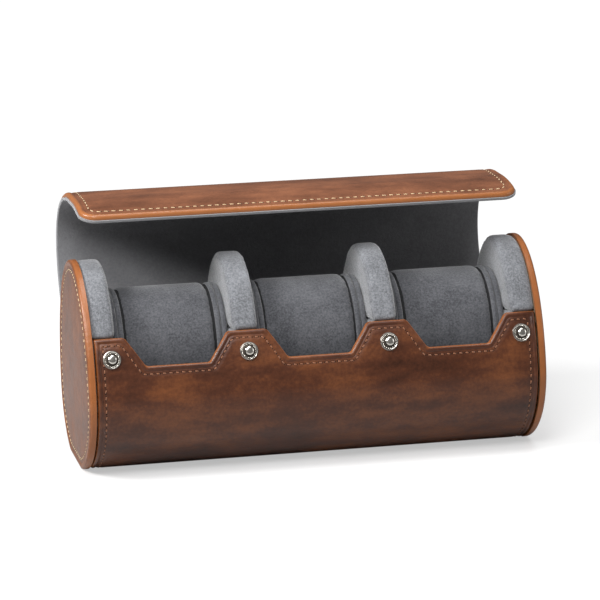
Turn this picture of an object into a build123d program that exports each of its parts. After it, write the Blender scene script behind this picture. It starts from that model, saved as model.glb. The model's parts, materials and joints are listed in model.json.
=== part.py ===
"""Travel case for three watches: a leaning oval roll of leather with two closed ends, padded
dividers, three lift-out cushions and a curved flap that snaps shut at the front.

Everything is drawn in the section frame of the case, where V runs from the front (-) to the
rear (+) and W runs up the oval, and is then leaned back and stood on its flattened bottom.
The flap is drawn closed and is then swung open. Millimetres: X runs along the case, -Y is the
front and +Z is up.
"""
from build123d import *
from math import asin, atan2, cos, degrees, hypot, radians, sin, sqrt, tan
import os

# ---------------------------------------------------------------- driving dimensions
# the oval section
section_depth = 84.0  # front to rear
crown_height = 63.3  # from the widest line up to the top
belly_height = 37.9  # from the widest line down to the bottom, before it is flattened
lean_back = 10.2  # degrees that the oval leans towards its hinge
base_flat_depth = 2.4  # how much of the belly is pressed flat

# layers of the sheet, from the outside in
leather = 1.4
board = 1.2
lining = 1.2

# along the case
end_gap = 0.8  # between the wrap's edge and a closed end
cap_board = 2.0
cap_edge = 1.3  # rounding of the rolled rim
end_pad_thickness = 11.8
divider_thickness = 12.0
divider_core = 2.0
divider_core_inset = 4.0
disc_edge = 2.6  # soft edge of a padded disc
edge_steps = 3  # flats that a soft edge is drawn in

# front wall: four tabs between three notches, heights in the section frame
tab_top = 15.1
notch_bottom = 1.4
tab_width = 19.4  # of a middle tab along its top
notch_flank = 9.4  # how far a notch's side leans in on its way down
notch_corner = 2.4
turned_edge = 1.5  # leather turned over the edge of its board

# flap and its flexing front edge
hinge_height = 5.0  # in the section frame, on the rear wall
flap_front_gap = 1.2  # between the front wall and the closed flap
flap_top_gap = 0.2  # how far its inside stands above the closed ends
flap_edge_drop = 18.7  # from the tab's top edge down to the closed flap's edge
flap_corner = 8.0
flap_open = 54.0  # degrees from closed, as it stands open
lip_length = 29.0
lip_spring = 6.0  # degrees that the lip stands out by itself
strip_tongue = 9.0  # glued length of the hinge and flex strips
hinge_relief = 3.3  # radius left free of leather round the hinge
flex_relief = 2.3

# snaps
snap_drop = 9.6  # from the tab's top edge to the snap's centre
outer_snap_inset = 7.7  # from the end of the wrap
stud_flange_dia = 9.0
stud_flange = 0.9
stud_dish_dia = 6.2
stud_dish = 0.35
stud_head_dia = 4.2
stud_head = 1.4
stud_neck_dia = 3.0
stud_height = 2.6
post_dia = 7.0
post_flange = 0.7
post_pin_dia = 2.0
socket_dia = 9.6
socket_height = 1.9
socket_bore = 4.7
socket_floor = 0.4
spring_wire = 0.5

# cushions
cushion_length = 56.0
cushion_depth = 52.0
cushion_height = 66.0
cushion_middle = 3.0  # in the section frame
cushion_skin = 1.2
cushion_end = 3.4
cushion_groove = 0.6
cushion_edge = 1.1
cushion_gap = 0.4  # between a cushion and the padding at either end of it
floor_pad_top = -14.0  # in the section frame

# clearances
pad_gap = 0.2  # padding inside the wrap
disc_gap = 0.5  # discs under the closed flap
disc_setback = 2.2  # discs behind the flap at the front
seat_gap = 0.3  # cushion on its floor pad
knuckle_gap = 0.15
snap_gap = 0.1
flange_seat = 0.15

# ---------------------------------------------------------------- worked out
sheet = leather + board + lining
half_depth = section_depth / 2
widest = (belly_height - crown_height) / 2  # height of the widest line
lean = radians(lean_back)
compartment = cushion_length + 2 * cushion_gap
divider_pitch = compartment + divider_thickness
half_wrap = 1.5 * compartment + divider_thickness + end_pad_thickness - end_gap
notch_top_width = divider_pitch - tab_width
notch_bottom_width = notch_top_width - 2 * notch_flank
half_board = half_wrap - turned_edge
cap_start = half_wrap + end_gap
cap_end = cap_start + cap_board + leather
far = 2 * (section_depth + crown_height)  # longer than any section


def world(v, w):
    """(Y, Z) of a point of the section frame once the case leans back, before it is stood up."""
    return v * cos(lean) + w * sin(lean), -v * sin(lean) + w * cos(lean)


# the flattened bottom is a chord of the belly, level once the case leans
belly_lowest = world(0, widest)[1] - hypot(half_depth * sin(lean), belly_height * cos(lean))
base_level = belly_lowest + base_flat_depth
chord_slope = -tan(lean) * (half_depth / belly_height) ** 2
chord_rise = (base_level - world(0, widest)[1]) / (cos(lean) - chord_slope * sin(lean))
base_middle = world(chord_slope * chord_rise, widest + chord_rise)[0]
stand = Pos(0, -base_middle, -base_level) * Rot(-lean_back, 0, 0)


# ---------------------------------------------------------------- section sketches
def half_oval(middle, a, b, start, end):
    """The part of an oval about the widest line between two angles, closed by a straight line."""
    curve = EllipticalCenterArc((middle, widest), a, b, start, arc_size=end - start)
    return make_face(Wire([curve, Line(curve @ 1, curve @ 0)]))


def section(inset):
    """The case's outline, inset by a wall's depth: a tall half oval on a low one, flattened."""
    crown = half_oval(0, half_depth - inset, crown_height - inset, 0, 180)
    belly = half_oval(0, half_depth - inset, belly_height - inset, 180, 360)
    floor = Pos(0, base_level + inset) * Rectangle(far, far, align=(Align.CENTER, Align.MIN))
    return (crown + belly) & (Rot(0, 0, lean_back) * floor)


def left_of(point, angle):
    """Everything on the left of a line through a point that runs at an angle in degrees."""
    return Pos(*point) * Rot(0, 0, angle) * Rectangle(2 * far, far, align=(Align.CENTER, Align.MIN))


def box_above(w):
    return Pos(0, w) * Rectangle(far, far, align=(Align.CENTER, Align.MIN))


def box_below(w):
    return Pos(0, w) * Rectangle(far, far, align=(Align.CENTER, Align.MAX))


front_side = Rectangle(far, 2 * far, align=(Align.MAX, Align.CENTER))
rear_side = Rectangle(far, 2 * far, align=(Align.MIN, Align.CENTER))


def along(sketch, start, end):
    """A section sketch extruded along the case between two places."""
    return Pos(start, 0, 0) * extrude(Plane.YZ * sketch, end - start)


def both_ways(sketch, half_length):
    return along(sketch, -half_length, half_length)


def soft_slab(outline, start, end, edge, soft):
    """A slab whose outline, a sketch for each inset, is drawn in round the faces named."""
    turn = [radians(90 * step / edge_steps) for step in range(edge_steps + 1)]
    rounding = [(edge * (1 - sin(t)), edge * (1 - cos(t))) for t in turn]  # depth under the face, inset
    stations = [(end - depth, inset) for depth, inset in rounding] if end in soft else [(end, 0)]
    first = [(start + depth, inset) for depth, inset in reversed(rounding)] if start in soft else [(start, 0)]
    return loft([Pos(x, 0, 0) * (Plane.YZ * outline(inset)) for x, inset in first + stations], ruled=True)


# ---------------------------------------------------------------- the flap's oval
flap_a = (section_depth - sheet + flap_front_gap) / 2
flap_b = crown_height + flap_top_gap
flap_middle = flap_a - half_depth - flap_front_gap


def on_flap(angle, depth):
    """A point of the flap's oval at an angle from the rear, over the top, and a depth outwards."""
    return flap_middle + (flap_a + depth) * cos(radians(angle)), widest + (flap_b + depth) * sin(radians(angle))


def flap_angle(w):
    """The rear angle at which the flap's middle layer passes a height."""
    return degrees(asin((w - widest) / (flap_b + sheet / 2)))


def flap_heading(angle):
    """The direction in which the middle layer runs on towards the front, in degrees."""
    return degrees(atan2((flap_b + sheet / 2) * cos(radians(angle)), -(flap_a + sheet / 2) * sin(radians(angle))))


def flap_face(depth):
    """The inside of the flap's oval at a depth outwards from its lining."""
    return half_oval(flap_middle, flap_a + depth, flap_b + depth, -30, 210)


def flap_ring(inner, outer):
    return flap_face(outer) - flap_face(inner)


knuckle = sheet / 2  # the hinge and flex strips end in a round bead as thick as the sheet
hinge_angle = flap_angle(hinge_height)
hinge_line = on_flap(hinge_angle, knuckle)
hinge_heading = flap_heading(hinge_angle)
flap_edge = tab_top - flap_edge_drop
flex_angle = 180 - flap_angle(flap_edge + lip_length)
flex_line = on_flap(flex_angle, knuckle)
flex_heading = flap_heading(flex_angle)


def bead(line, extra=0.0):
    return Pos(*line) * Circle(knuckle + extra)


def before(line, heading, length):
    """The point that lies a length before a line of the sheet."""
    return line[0] - length * cos(radians(heading)), line[1] - length * sin(radians(heading))


def swing(line, angle):
    """A turn about a line of the sheet; positive opens towards the rear."""
    return Pos(0, *line) * Rot(-angle, 0, 0) * Pos(0, -line[0], -line[1])


flap_pose = stand * swing(hinge_line, flap_open)
lip_pose = flap_pose * swing(flex_line, lip_spring)

# ---------------------------------------------------------------- snap places
snap_height = tab_top - snap_drop
snap_front = -half_depth * sqrt(1 - ((snap_height - widest) / crown_height) ** 2)
snap_facing = Vector(0, snap_front / half_depth**2, (snap_height - widest) / crown_height**2).normalized()
snap_places = [side * x for x in (divider_pitch / 2, half_wrap - outer_snap_inset) for side in (-1, 1)]
snap_planes = [Plane((x, snap_front, snap_height), x_dir=(1, 0, 0), z_dir=snap_facing) for x in snap_places]


def at_snaps(shape, height=0.0):
    """A copy of a shape at each snap, at a height above the front wall."""
    return [plane * Pos(0, 0, height) * shape for plane in snap_planes]


def drilled(solid, diameter, low, high):
    """A layer with a round hole at each snap, between two heights above the front wall."""
    hole = Cylinder(diameter / 2, high - low, align=(Align.CENTER, Align.CENTER, Align.MIN))
    return solid - at_snaps(hole, low)


# ---------------------------------------------------------------- base wrap
def wall_pattern(inset):
    """The front wall seen square on, four tabs and three notches, inset for a turned edge."""
    flank = atan2(tab_top - notch_bottom, (notch_top_width - notch_bottom_width) / 2)
    widen = inset * tan(flank / 2)
    points = []
    for middle in (-divider_pitch, 0.0, divider_pitch):
        top, low = notch_top_width / 2 + widen, notch_bottom_width / 2 + widen
        points += [(middle - top, tab_top - inset), (middle - low, notch_bottom - inset)]
        points += [(middle + low, notch_bottom - inset), (middle + top, tab_top - inset)]
    edge = half_wrap - inset
    outline = [(-edge, tab_top - inset)] + points + [(edge, tab_top - inset), (edge, -far), (-edge, -far)]
    pattern = make_face(Polyline(*outline, close=True))
    corners = [v for v in pattern.vertices() if abs(v.X) < edge - 1]
    return fillet(corners, notch_corner)


def below_hinge(drop=0.0):
    """The rear wall's region, up to a length short of the hinge."""
    return left_of(before(hinge_line, hinge_heading, drop), hinge_heading + 90) & rear_side


def wall_layer(outer, inner, inset=0.0, drop=0.0, free=None):
    """A layer of the base wrap between two depths, cut to its pattern and short of the hinge."""
    ring = section(outer) - section(inner)
    rear = ring & below_hinge(drop)
    if free is not None:
        rear = rear - free
    length = half_wrap - inset
    front = both_ways(ring & front_side, length) & extrude(Plane.XZ * wall_pattern(inset), far)
    return front + both_ways(rear, length)


def make_wrap():
    board_ring = section(leather) - section(leather + board)
    tongue = board_ring & (below_hinge() - below_hinge(strip_tongue))
    hinge_strip = both_ways(tongue + bead(hinge_line), half_board)
    stiffener = wall_layer(leather, leather + board, turned_edge, strip_tongue)
    outside = wall_layer(0, leather + board, free=Pos(*hinge_line) * Circle(hinge_relief))
    outside = outside - stiffener - both_ways(tongue, half_board)
    inside = wall_layer(leather + board, sheet, free=bead(hinge_line, knuckle_gap))
    outside = drilled(outside, post_pin_dia + 2 * snap_gap, -leather - board, 1)
    outside = drilled(outside, stud_flange_dia + 2 * snap_gap, -flange_seat, 1)
    stiffener = drilled(stiffener, post_pin_dia + 2 * snap_gap, -leather - board - 1, 0)
    stiffener = drilled(stiffener, post_dia + 2 * snap_gap, -sheet, -leather - board)
    inside = drilled(inside, post_dia + 2 * snap_gap, -leather - board - post_flange, 0)
    return {
        "wrap_leather": stand * outside,
        "wrap_board": stand * stiffener,
        "wrap_lining": stand * inside,
        "hinge_strip": stand * hinge_strip,
    }


# ---------------------------------------------------------------- closed ends and dividers
def disc_crown(inset):
    """The part of a padded disc that stands above the front wall."""
    a = flap_a - disc_gap - disc_setback / 2
    crown = half_oval(flap_middle + disc_setback / 2, a - inset, flap_b - disc_gap - inset, -30, 210)
    return crown & box_above(tab_top)


def padded_disc(start, end, soft):
    """A disc between two places along the case, with soft edges on the faces named."""
    foot = along(section(sheet + pad_gap) & box_below(tab_top), start, end)
    return soft_slab(disc_crown, start, end, disc_edge, soft) + foot


def make_ends():
    parts = {}
    for name, side in (("left", -1), ("right", 1)):
        span = sorted((side * cap_start, side * (cap_start - end_pad_thickness)))
        inner_face = side * (cap_start - end_pad_thickness)
        shell = soft_slab(section, *sorted((side * cap_start, side * cap_end)), cap_edge, [side * cap_end])
        core = along(section(leather), *sorted((side * cap_start, side * (cap_start + cap_board))))
        parts[f"end_pad_{name}"] = stand * padded_disc(*span, [inner_face])
        parts[f"end_cap_board_{name}"] = stand * core
        parts[f"end_cap_leather_{name}"] = stand * (shell - core)
    return parts


def make_dividers():
    parts = {}
    for name, side in (("left", -1), ("right", 1)):
        middle = side * divider_pitch / 2
        start, end = middle - divider_thickness / 2, middle + divider_thickness / 2
        core = along(section(sheet + divider_core_inset), middle - divider_core / 2, middle + divider_core / 2)
        parts[f"divider_pad_{name}"] = stand * (padded_disc(start, end, [start, end]) - core)
        parts[f"divider_core_{name}"] = stand * core
    return parts


# ---------------------------------------------------------------- flap and lip
def flap_layer(inner, outer, region, half_length, free):
    return both_ways((flap_ring(inner, outer) & region) - free, half_length)


def rounded_front(inset):
    """The flap seen square on from the front, with its two rounded corners."""
    edge = half_wrap - inset
    front = Pos(0, flap_edge + inset) * Rectangle(2 * edge, far, align=(Align.CENTER, Align.MIN))
    corners = front.vertices().sort_by(Axis.Y)[:2]
    return extrude(Plane.XZ * fillet(corners, flap_corner - inset), far)


def make_flap():
    body = left_of(hinge_line, hinge_heading - 90) & left_of(flex_line, flex_heading + 90)
    body_board = body & left_of(before(flex_line, flex_heading, strip_tongue), flex_heading + 90)
    ring = flap_ring(lining, lining + board)
    tongue = (ring & body) - body_board
    flex_strip = both_ways(tongue + bead(flex_line), half_board)
    hinge_free = bead(hinge_line, knuckle_gap)
    stiffener = flap_layer(lining, lining + board, body_board, half_board, hinge_free)
    leather_free = Pos(*hinge_line) * Circle(hinge_relief) + Pos(*flex_line) * Circle(flex_relief)
    outside = flap_layer(lining, sheet, body, half_wrap, leather_free)
    outside = outside - stiffener - both_ways(tongue, half_board)
    inside = flap_layer(0, lining, body, half_wrap, hinge_free + bead(flex_line, knuckle_gap))
    return {
        "flap_leather": flap_pose * outside,
        "flap_board": flap_pose * stiffener,
        "flap_lining": flap_pose * inside,
        "flex_strip": flap_pose * flex_strip,
    }


socket_mouth = stud_flange + seat_gap  # above the front wall, with the lip closed


def make_lip():
    region = left_of(flex_line, flex_heading - 90) & front_side & box_above(flap_edge)
    free = bead(flex_line, knuckle_gap)
    uncut = half_wrap + flap_corner  # longer than the lip, whose pattern then cuts it
    stiffener = flap_layer(lining, lining + board, region, uncut, free) & rounded_front(turned_edge)
    outside = flap_layer(lining, sheet, region, uncut, Pos(*flex_line) * Circle(flex_relief))
    outside = (outside & rounded_front(0)) - stiffener
    inside = flap_layer(0, lining, region, uncut, free) & rounded_front(0)
    pocket_top = socket_mouth + socket_height
    stiffener = drilled(stiffener, socket_dia + 2 * snap_gap, 0, pocket_top)
    inside = drilled(inside, socket_dia + 2 * snap_gap, 0, pocket_top)
    return {
        "lip_leather": lip_pose * outside,
        "lip_board": lip_pose * stiffener,
        "lip_lining": lip_pose * inside,
    }


# ---------------------------------------------------------------- snaps
def peg(diameter, height):
    return Cylinder(diameter / 2, height, align=(Align.CENTER, Align.CENTER, Align.MIN))


def make_snaps():
    flange = peg(stud_flange_dia, stud_flange)
    flange = fillet(flange.edges().sort_by(Axis.Z)[-1], stud_flange / 3)
    flange -= Pos(0, 0, stud_flange - stud_dish) * peg(stud_dish_dia, stud_dish)
    head = Pos(0, 0, stud_height - stud_head) * peg(stud_head_dia, stud_head)
    head = fillet(head.edges().filter_by(GeomType.CIRCLE), stud_head / 2.5)
    stud = flange + peg(stud_neck_dia, stud_height - stud_head / 2) + head
    stud -= peg(post_pin_dia + snap_gap, stud_flange)
    post_base = leather + board + post_flange - snap_gap
    post = peg(post_dia, post_flange - snap_gap) + peg(post_pin_dia, post_base + stud_flange - flange_seat)

    groove = socket_bore + 2 * spring_wire + snap_gap
    socket = peg(socket_dia, socket_height) - peg(socket_bore, socket_height - socket_floor)
    socket -= Pos(0, 0, spring_wire) * peg(groove, spring_wire + snap_gap)
    spring = Pos(0, 0, spring_wire + spring_wire / 2) * Torus(socket_bore / 2 + spring_wire / 2, spring_wire / 2)
    return {
        "snap_studs": [stand * s for s in at_snaps(stud, -flange_seat)],
        "snap_posts": [stand * s for s in at_snaps(post, -post_base)],
        "snap_sockets": [lip_pose * s for s in at_snaps(socket, socket_mouth)],
        "snap_springs": [lip_pose * s for s in at_snaps(spring, socket_mouth)],
    }


# ---------------------------------------------------------------- cushions
def cushion_oval(inset):
    return Pos(0, cushion_middle) * Ellipse(cushion_depth / 2 - inset, cushion_height / 2 - inset)


def make_cushions():
    parts = {}
    for name, middle in (("left", -divider_pitch), ("middle", 0.0), ("right", divider_pitch)):
        bed = (section(sheet + pad_gap) & box_below(floor_pad_top)) - cushion_oval(-seat_gap)
        half = cushion_length / 2
        core_half = half - cushion_end
        sleeve_half = core_half - cushion_groove
        sleeve = both_ways(cushion_oval(0) - cushion_oval(cushion_skin), sleeve_half)
        end = soft_slab(cushion_oval, core_half, half, cushion_edge, [core_half, half])
        place = stand * Pos(middle, 0, 0)
        parts[f"floor_pad_{name}"] = place * both_ways(bed, compartment / 2 - pad_gap)
        parts[f"cushion_core_{name}"] = place * both_ways(cushion_oval(cushion_skin), core_half)
        parts[f"cushion_sleeve_{name}"] = place * sleeve
        parts[f"cushion_end_right_{name}"] = place * end
        parts[f"cushion_end_left_{name}"] = place * mirror(end, Plane.YZ)
    return parts


# ---------------------------------------------------------------- output
def as_one(shape):
    """A node's solid, or its group of separate solids."""
    return Compound(children=shape) if isinstance(shape, list) else shape


def main():
    os.makedirs("parts", exist_ok=True)
    nodes = {**make_wrap(), **make_ends(), **make_dividers(), **make_flap(), **make_lip(), **make_snaps(),
             **make_cushions()}
    for name, shape in nodes.items():
        export_step(as_one(shape), f"parts/{name}.step")
    for label, line, pose in (("hinge", hinge_line, stand), ("flex", flex_line, flap_pose)):
        place = (pose * Pos(0, *line)).position
        print(f"{label} line: Y {place.Y:.3f}  Z {place.Z:.3f}")
    print(f"{len(nodes)} nodes, {2 * cap_end:.1f} long")


main()
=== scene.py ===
"""A leather travel case for three watches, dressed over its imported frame.

The case is an oval roll that leans back on a pressed flat. Its leather and its suede are cut flat,
shaped at their edges and then wrapped round the oval, as the real ones are. Flat patterns are drawn
in millimetres: X runs along the case, Y is the distance round the sheet from the front wall's top
edge, under the case, up its back and over the open flap, and Z is the height over the sheet's middle.
"""

from __future__ import annotations

import bisect
import json
import logging
import math
import random
from dataclasses import dataclass, field
from enum import Enum
from typing import Callable, Sequence

import bpy
from mathutils import Matrix, Vector

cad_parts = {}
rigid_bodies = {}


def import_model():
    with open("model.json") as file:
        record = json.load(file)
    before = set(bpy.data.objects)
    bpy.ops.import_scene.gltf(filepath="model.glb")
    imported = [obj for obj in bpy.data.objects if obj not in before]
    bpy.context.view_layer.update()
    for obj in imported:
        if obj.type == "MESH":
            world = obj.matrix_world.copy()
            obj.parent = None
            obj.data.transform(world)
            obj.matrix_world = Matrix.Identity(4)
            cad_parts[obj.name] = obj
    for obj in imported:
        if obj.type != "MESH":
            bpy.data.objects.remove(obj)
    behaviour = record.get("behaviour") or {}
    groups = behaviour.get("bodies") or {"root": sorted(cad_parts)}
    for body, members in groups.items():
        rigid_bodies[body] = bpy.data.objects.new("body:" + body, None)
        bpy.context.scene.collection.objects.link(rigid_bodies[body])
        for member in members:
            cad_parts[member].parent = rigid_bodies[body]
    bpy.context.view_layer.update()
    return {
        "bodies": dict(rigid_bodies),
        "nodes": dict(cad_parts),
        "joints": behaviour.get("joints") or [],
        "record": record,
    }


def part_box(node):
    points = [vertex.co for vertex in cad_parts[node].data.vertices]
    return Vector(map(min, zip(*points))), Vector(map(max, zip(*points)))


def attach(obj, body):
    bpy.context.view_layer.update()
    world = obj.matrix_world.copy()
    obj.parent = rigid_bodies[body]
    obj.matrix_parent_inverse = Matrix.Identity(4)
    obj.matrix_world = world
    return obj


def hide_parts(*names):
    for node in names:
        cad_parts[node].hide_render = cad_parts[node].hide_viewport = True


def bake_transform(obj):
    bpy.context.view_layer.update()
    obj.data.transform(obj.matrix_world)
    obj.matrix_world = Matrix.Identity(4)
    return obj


LOG = logging.getLogger("watch_case")
MM = 0.001
NEAR = 0.01  # flat points closer than this, in millimetres, count as the same
CREASE = 50.0  # degrees: leather edges sharper than this stay sharp
Point = tuple[float, float]
Profile = Sequence[tuple[float, float]]


class Side(Enum):
    """An end of the case, and its direction along X."""

    LEFT = -1
    RIGHT = 1

    @property
    def word(self) -> str:
        """The side's name in the frame's nodes."""
        return self.name.lower()


# ------------------------------------------------------------------ working by hand in edit mode
def deselect_all() -> None:
    """Nothing is selected or active afterwards."""
    for other in bpy.context.selected_objects:
        other.select_set(False)
    bpy.context.view_layer.objects.active = None


def take(piece: bpy.types.Object) -> bpy.types.Object:
    """Makes a piece the only one selected, and active.

    Args:
        piece: The object to work on.

    Returns:
        The same object.
    """
    deselect_all()
    piece.select_set(True)
    bpy.context.view_layer.objects.active = piece
    return piece


def edit(piece: bpy.types.Object) -> None:
    """Opens a piece in edit mode with everything selected."""
    take(piece)
    bpy.ops.object.mode_set(mode="EDIT")
    bpy.ops.mesh.select_mode(type="VERT")
    bpy.ops.mesh.select_all(action="SELECT")


def leave() -> None:
    """Back to object mode."""
    bpy.ops.object.mode_set(mode="OBJECT")


def choose(piece: bpy.types.Object, wanted: Callable[[Vector], bool], mode: str = "VERT") -> int:
    """Selects the vertices, edges or faces of the piece in edit mode whose middle is wanted.

    Args:
        piece: The object in edit mode.
        wanted: A test on the middle of each element.
        mode: VERT, EDGE or FACE.

    Returns:
        How many were selected.
    """
    bpy.ops.mesh.select_mode(type=mode)
    bpy.ops.mesh.select_all(action="DESELECT")
    leave()
    mesh = piece.data
    count = 0
    if mode == "VERT":
        for vertex in mesh.vertices:
            vertex.select = wanted(vertex.co)
            count += vertex.select
    elif mode == "EDGE":
        for edge in mesh.edges:
            a, b = (mesh.vertices[i].co for i in edge.vertices)
            edge.select = wanted((a + b) / 2)
            count += edge.select
    else:
        for face in mesh.polygons:
            face.select = wanted(face.center)
            count += face.select
    bpy.ops.object.mode_set(mode="EDIT")
    return count


def choose_open_edges() -> None:
    """Selects the edges of the piece in edit mode that close no surface."""
    bpy.ops.mesh.select_mode(type="EDGE")
    bpy.ops.mesh.select_all(action="DESELECT")
    bpy.ops.mesh.select_non_manifold(extend=False, use_wire=False, use_boundary=True, use_multi_face=False,
                                     use_non_contiguous=False, use_verts=False)


def stepped(profile: Profile) -> None:
    """Insets the selected faces step by step.

    Args:
        profile: Distance in from the edge and height of each step; the faces stand on the first.
    """
    for (near, low), (far, high) in zip(profile, profile[1:]):
        bpy.ops.mesh.inset(thickness=far - near, depth=high - low)


def raised(piece: bpy.types.Object, height: float) -> None:
    """Opens a flat face in edit mode and extrudes it upwards."""
    edit(piece)
    bpy.ops.mesh.select_mode(type="FACE")
    bpy.ops.mesh.select_all(action="SELECT")
    bpy.ops.mesh.extrude_region_move(TRANSFORM_OT_translate={"value": (0, 0, height)})


def placed(piece: bpy.types.Object, place: Callable[[float, float, float], Vector]) -> None:
    """Moves each vertex of a piece from its flat coordinates to its place in the frame."""
    for vertex in piece.data.vertices:
        vertex.co = place(*vertex.co)
    piece.data.update()


def face_outwards(piece: bpy.types.Object) -> None:
    """Turns every face of a closed piece outwards."""
    edit(piece)
    bpy.ops.mesh.normals_make_consistent(inside=False)
    leave()


def note(piece: bpy.types.Object, name: str, values: Sequence[float]) -> None:
    """Stores a number for each vertex, which a finish reads."""
    attribute = piece.data.attributes.new(name, "FLOAT", "POINT")
    attribute.data.foreach_set("value", values)


def report(piece: bpy.types.Object) -> None:
    """Logs the size of a finished piece."""
    LOG.info("%s: %d faces", piece.name, len(piece.data.polygons))


def finish_modifier(piece: bpy.types.Object, name: str) -> None:
    """Applies a modifier, so that its shape is the mesh's own."""
    take(piece)
    bpy.ops.object.modifier_apply(modifier=name)


def smooth(piece: bpy.types.Object, angle: float = 40.0) -> None:
    """Smooth shading, with edges sharper than an angle in degrees left sharp."""
    take(piece)
    bpy.ops.object.shade_smooth_by_angle(angle=math.radians(angle))


def join(pieces: Sequence[bpy.types.Object], name: str) -> bpy.types.Object:
    """Joins pieces into one.

    Args:
        pieces: At least one mesh object.
        name: The joined object's name.

    Returns:
        The joined object.
    """
    deselect_all()
    for piece in pieces:
        piece.select_set(True)
    bpy.context.view_layer.objects.active = pieces[0]
    if len(pieces) > 1:
        bpy.ops.object.join()
    pieces[0].name = name
    return pieces[0]


def fresh(piece: bpy.types.Object, name: str) -> bpy.types.Object:
    """A copy of a piece with its own mesh, linked to the scene under a name."""
    copy = piece.copy()
    copy.data = piece.data.copy()
    copy.name = name
    bpy.context.scene.collection.objects.link(copy)
    return copy


def linked(name: str, data: bpy.types.ID) -> bpy.types.Object:
    """A new object that shows some data, linked to the scene."""
    made = bpy.data.objects.new(name, data)
    bpy.context.scene.collection.objects.link(made)
    return made


def flat_face(name: str, ring: Sequence[Point]) -> bpy.types.Object:
    """A single flat face.

    Args:
        name: The object's name.
        ring: The corners of the face in order.

    Returns:
        The object, with the face at height zero.
    """
    deselect_all()
    bpy.ops.mesh.primitive_circle_add(vertices=len(ring), radius=30, fill_type="NGON")
    piece = bpy.context.active_object
    piece.name = piece.data.name = name
    for vertex, (u, v) in zip(piece.data.vertices, ring):
        vertex.co = (u, v, 0)
    return piece


def turned(name: str, profile: Profile, steps: int = 40) -> bpy.types.Object:
    """A piece turned on a lathe about Z.

    Args:
        name: The object's name.
        profile: Radius and height of each point of the outline, in millimetres.
        steps: Facets round the axis.

    Returns:
        A closed mesh in millimetres, standing on its profile's heights.
    """
    mesh = bpy.data.meshes.new(name)
    mesh.from_pydata([(r, 0, h) for r, h in profile], [(i, i + 1) for i in range(len(profile) - 1)], [])
    piece = linked(name, mesh)
    edit(piece)
    bpy.ops.mesh.spin(steps=steps, angle=2 * math.pi, center=(0, 0, 0), axis=(0, 0, 1))
    bpy.ops.mesh.select_all(action="SELECT")
    bpy.ops.mesh.remove_doubles(threshold=0.002)
    bpy.ops.mesh.normals_make_consistent(inside=False)
    leave()
    smooth(piece, 35)
    return piece


# ------------------------------------------------------------------ the line of the sheet
@dataclass(frozen=True)
class Oval:
    """The leaning oval that the case is built on, in millimetres, with V to the rear and W up it."""

    half_depth: float = 42.0
    crown: float = 63.3
    belly: float = 37.9
    lean: float = math.radians(10.2)
    pressed: float = 2.4

    @property
    def widest(self) -> float:
        """Height of the widest line in the section frame."""
        return (self.belly - self.crown) / 2

    def leant(self, v: float, w: float) -> Point:
        """A section point once the case leans back, before it is stood up."""
        c, s = math.cos(self.lean), math.sin(self.lean)
        return v * c + w * s, -v * s + w * c

    @property
    def floor(self) -> float:
        """Height of the flat bottom before it is stood up."""
        drop = math.hypot(self.half_depth * math.sin(self.lean), self.belly * math.cos(self.lean))
        return self.leant(0, self.widest)[1] - drop + self.pressed

    @property
    def middle(self) -> float:
        """Y of the flat bottom's middle before it is stood up."""
        slope = -math.tan(self.lean) * (self.half_depth / self.belly) ** 2
        rise = (self.floor - self.leant(0, self.widest)[1]) / (math.cos(self.lean) - slope * math.sin(self.lean))
        return self.leant(slope * rise, self.widest + rise)[0]

    def stood(self, v: float, w: float) -> Point:
        """(Y, Z) of a section point in the frame, in millimetres."""
        y, z = self.leant(v, w)
        return y - self.middle, z - self.floor


@dataclass
class Line:
    """A curve in the YZ plane that is followed by its length, counter-clockwise seen from +X."""

    points: list[Point]
    lengths: list[float] = field(default_factory=list)
    outward: list[Vector] = field(default_factory=list)

    def __post_init__(self) -> None:
        """Measures the curve and finds its outward directions."""
        self.lengths = [0.0]
        for a, b in zip(self.points, self.points[1:]):
            self.lengths.append(self.lengths[-1] + math.dist(a, b))
        for i in range(len(self.points)):
            a, b = self.points[max(i - 1, 0)], self.points[min(i + 1, len(self.points) - 1)]
            self.outward.append(Vector((b[1] - a[1], a[0] - b[0])).normalized())

    @property
    def length(self) -> float:
        """The whole length."""
        return self.lengths[-1]

    def nearest(self, point: Point) -> float:
        """The length at which the curve passes closest to a point."""
        index = min(range(len(self.points)), key=lambda i: math.dist(self.points[i], point))
        return self.lengths[index]

    def at(self, s: float) -> tuple[Vector, Vector]:
        """Where the curve is at a length, and its outward direction there.

        Args:
            s: The length from the start; past either end the curve runs on straight.

        Returns:
            The point and the unit normal, both (Y, Z).
        """
        i = min(max(bisect.bisect_right(self.lengths, s) - 1, 0), len(self.points) - 2)
        span = self.lengths[i + 1] - self.lengths[i]
        t = (s - self.lengths[i]) / span
        a, b = Vector(self.points[i]), Vector(self.points[i + 1])
        normal = self.outward[i].lerp(self.outward[i + 1], min(max(t, 0), 1)).normalized()
        return a.lerp(b, t), normal

    def place(self, x: float, s: float, h: float) -> Vector:
        """A point of the flat pattern wrapped into the frame, in metres."""
        point, normal = self.at(s)
        spot = point + normal * h
        return Vector((x, spot.x, spot.y)) * MM


def eased(points: list[Point], corner: Point, reach: float) -> list[Point]:
    """A polyline with one corner drawn round, as a sheet bends.

    Args:
        points: The polyline.
        corner: The corner to round.
        reach: How far to each side of it the bend begins.

    Returns:
        The rounded polyline.
    """
    inside = [i for i, p in enumerate(points) if math.dist(p, corner) < reach]
    first, last = inside[0] - 1, inside[-1] + 1
    a, b = Vector(points[first]), Vector(points[last])
    c = Vector(corner)
    bend = []
    for k in range(1, 24):
        t = k / 24
        bend.append(tuple(a.lerp(c, t).lerp(c.lerp(b, t), t)))
    return points[: first + 1] + bend + points[last:]


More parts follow.
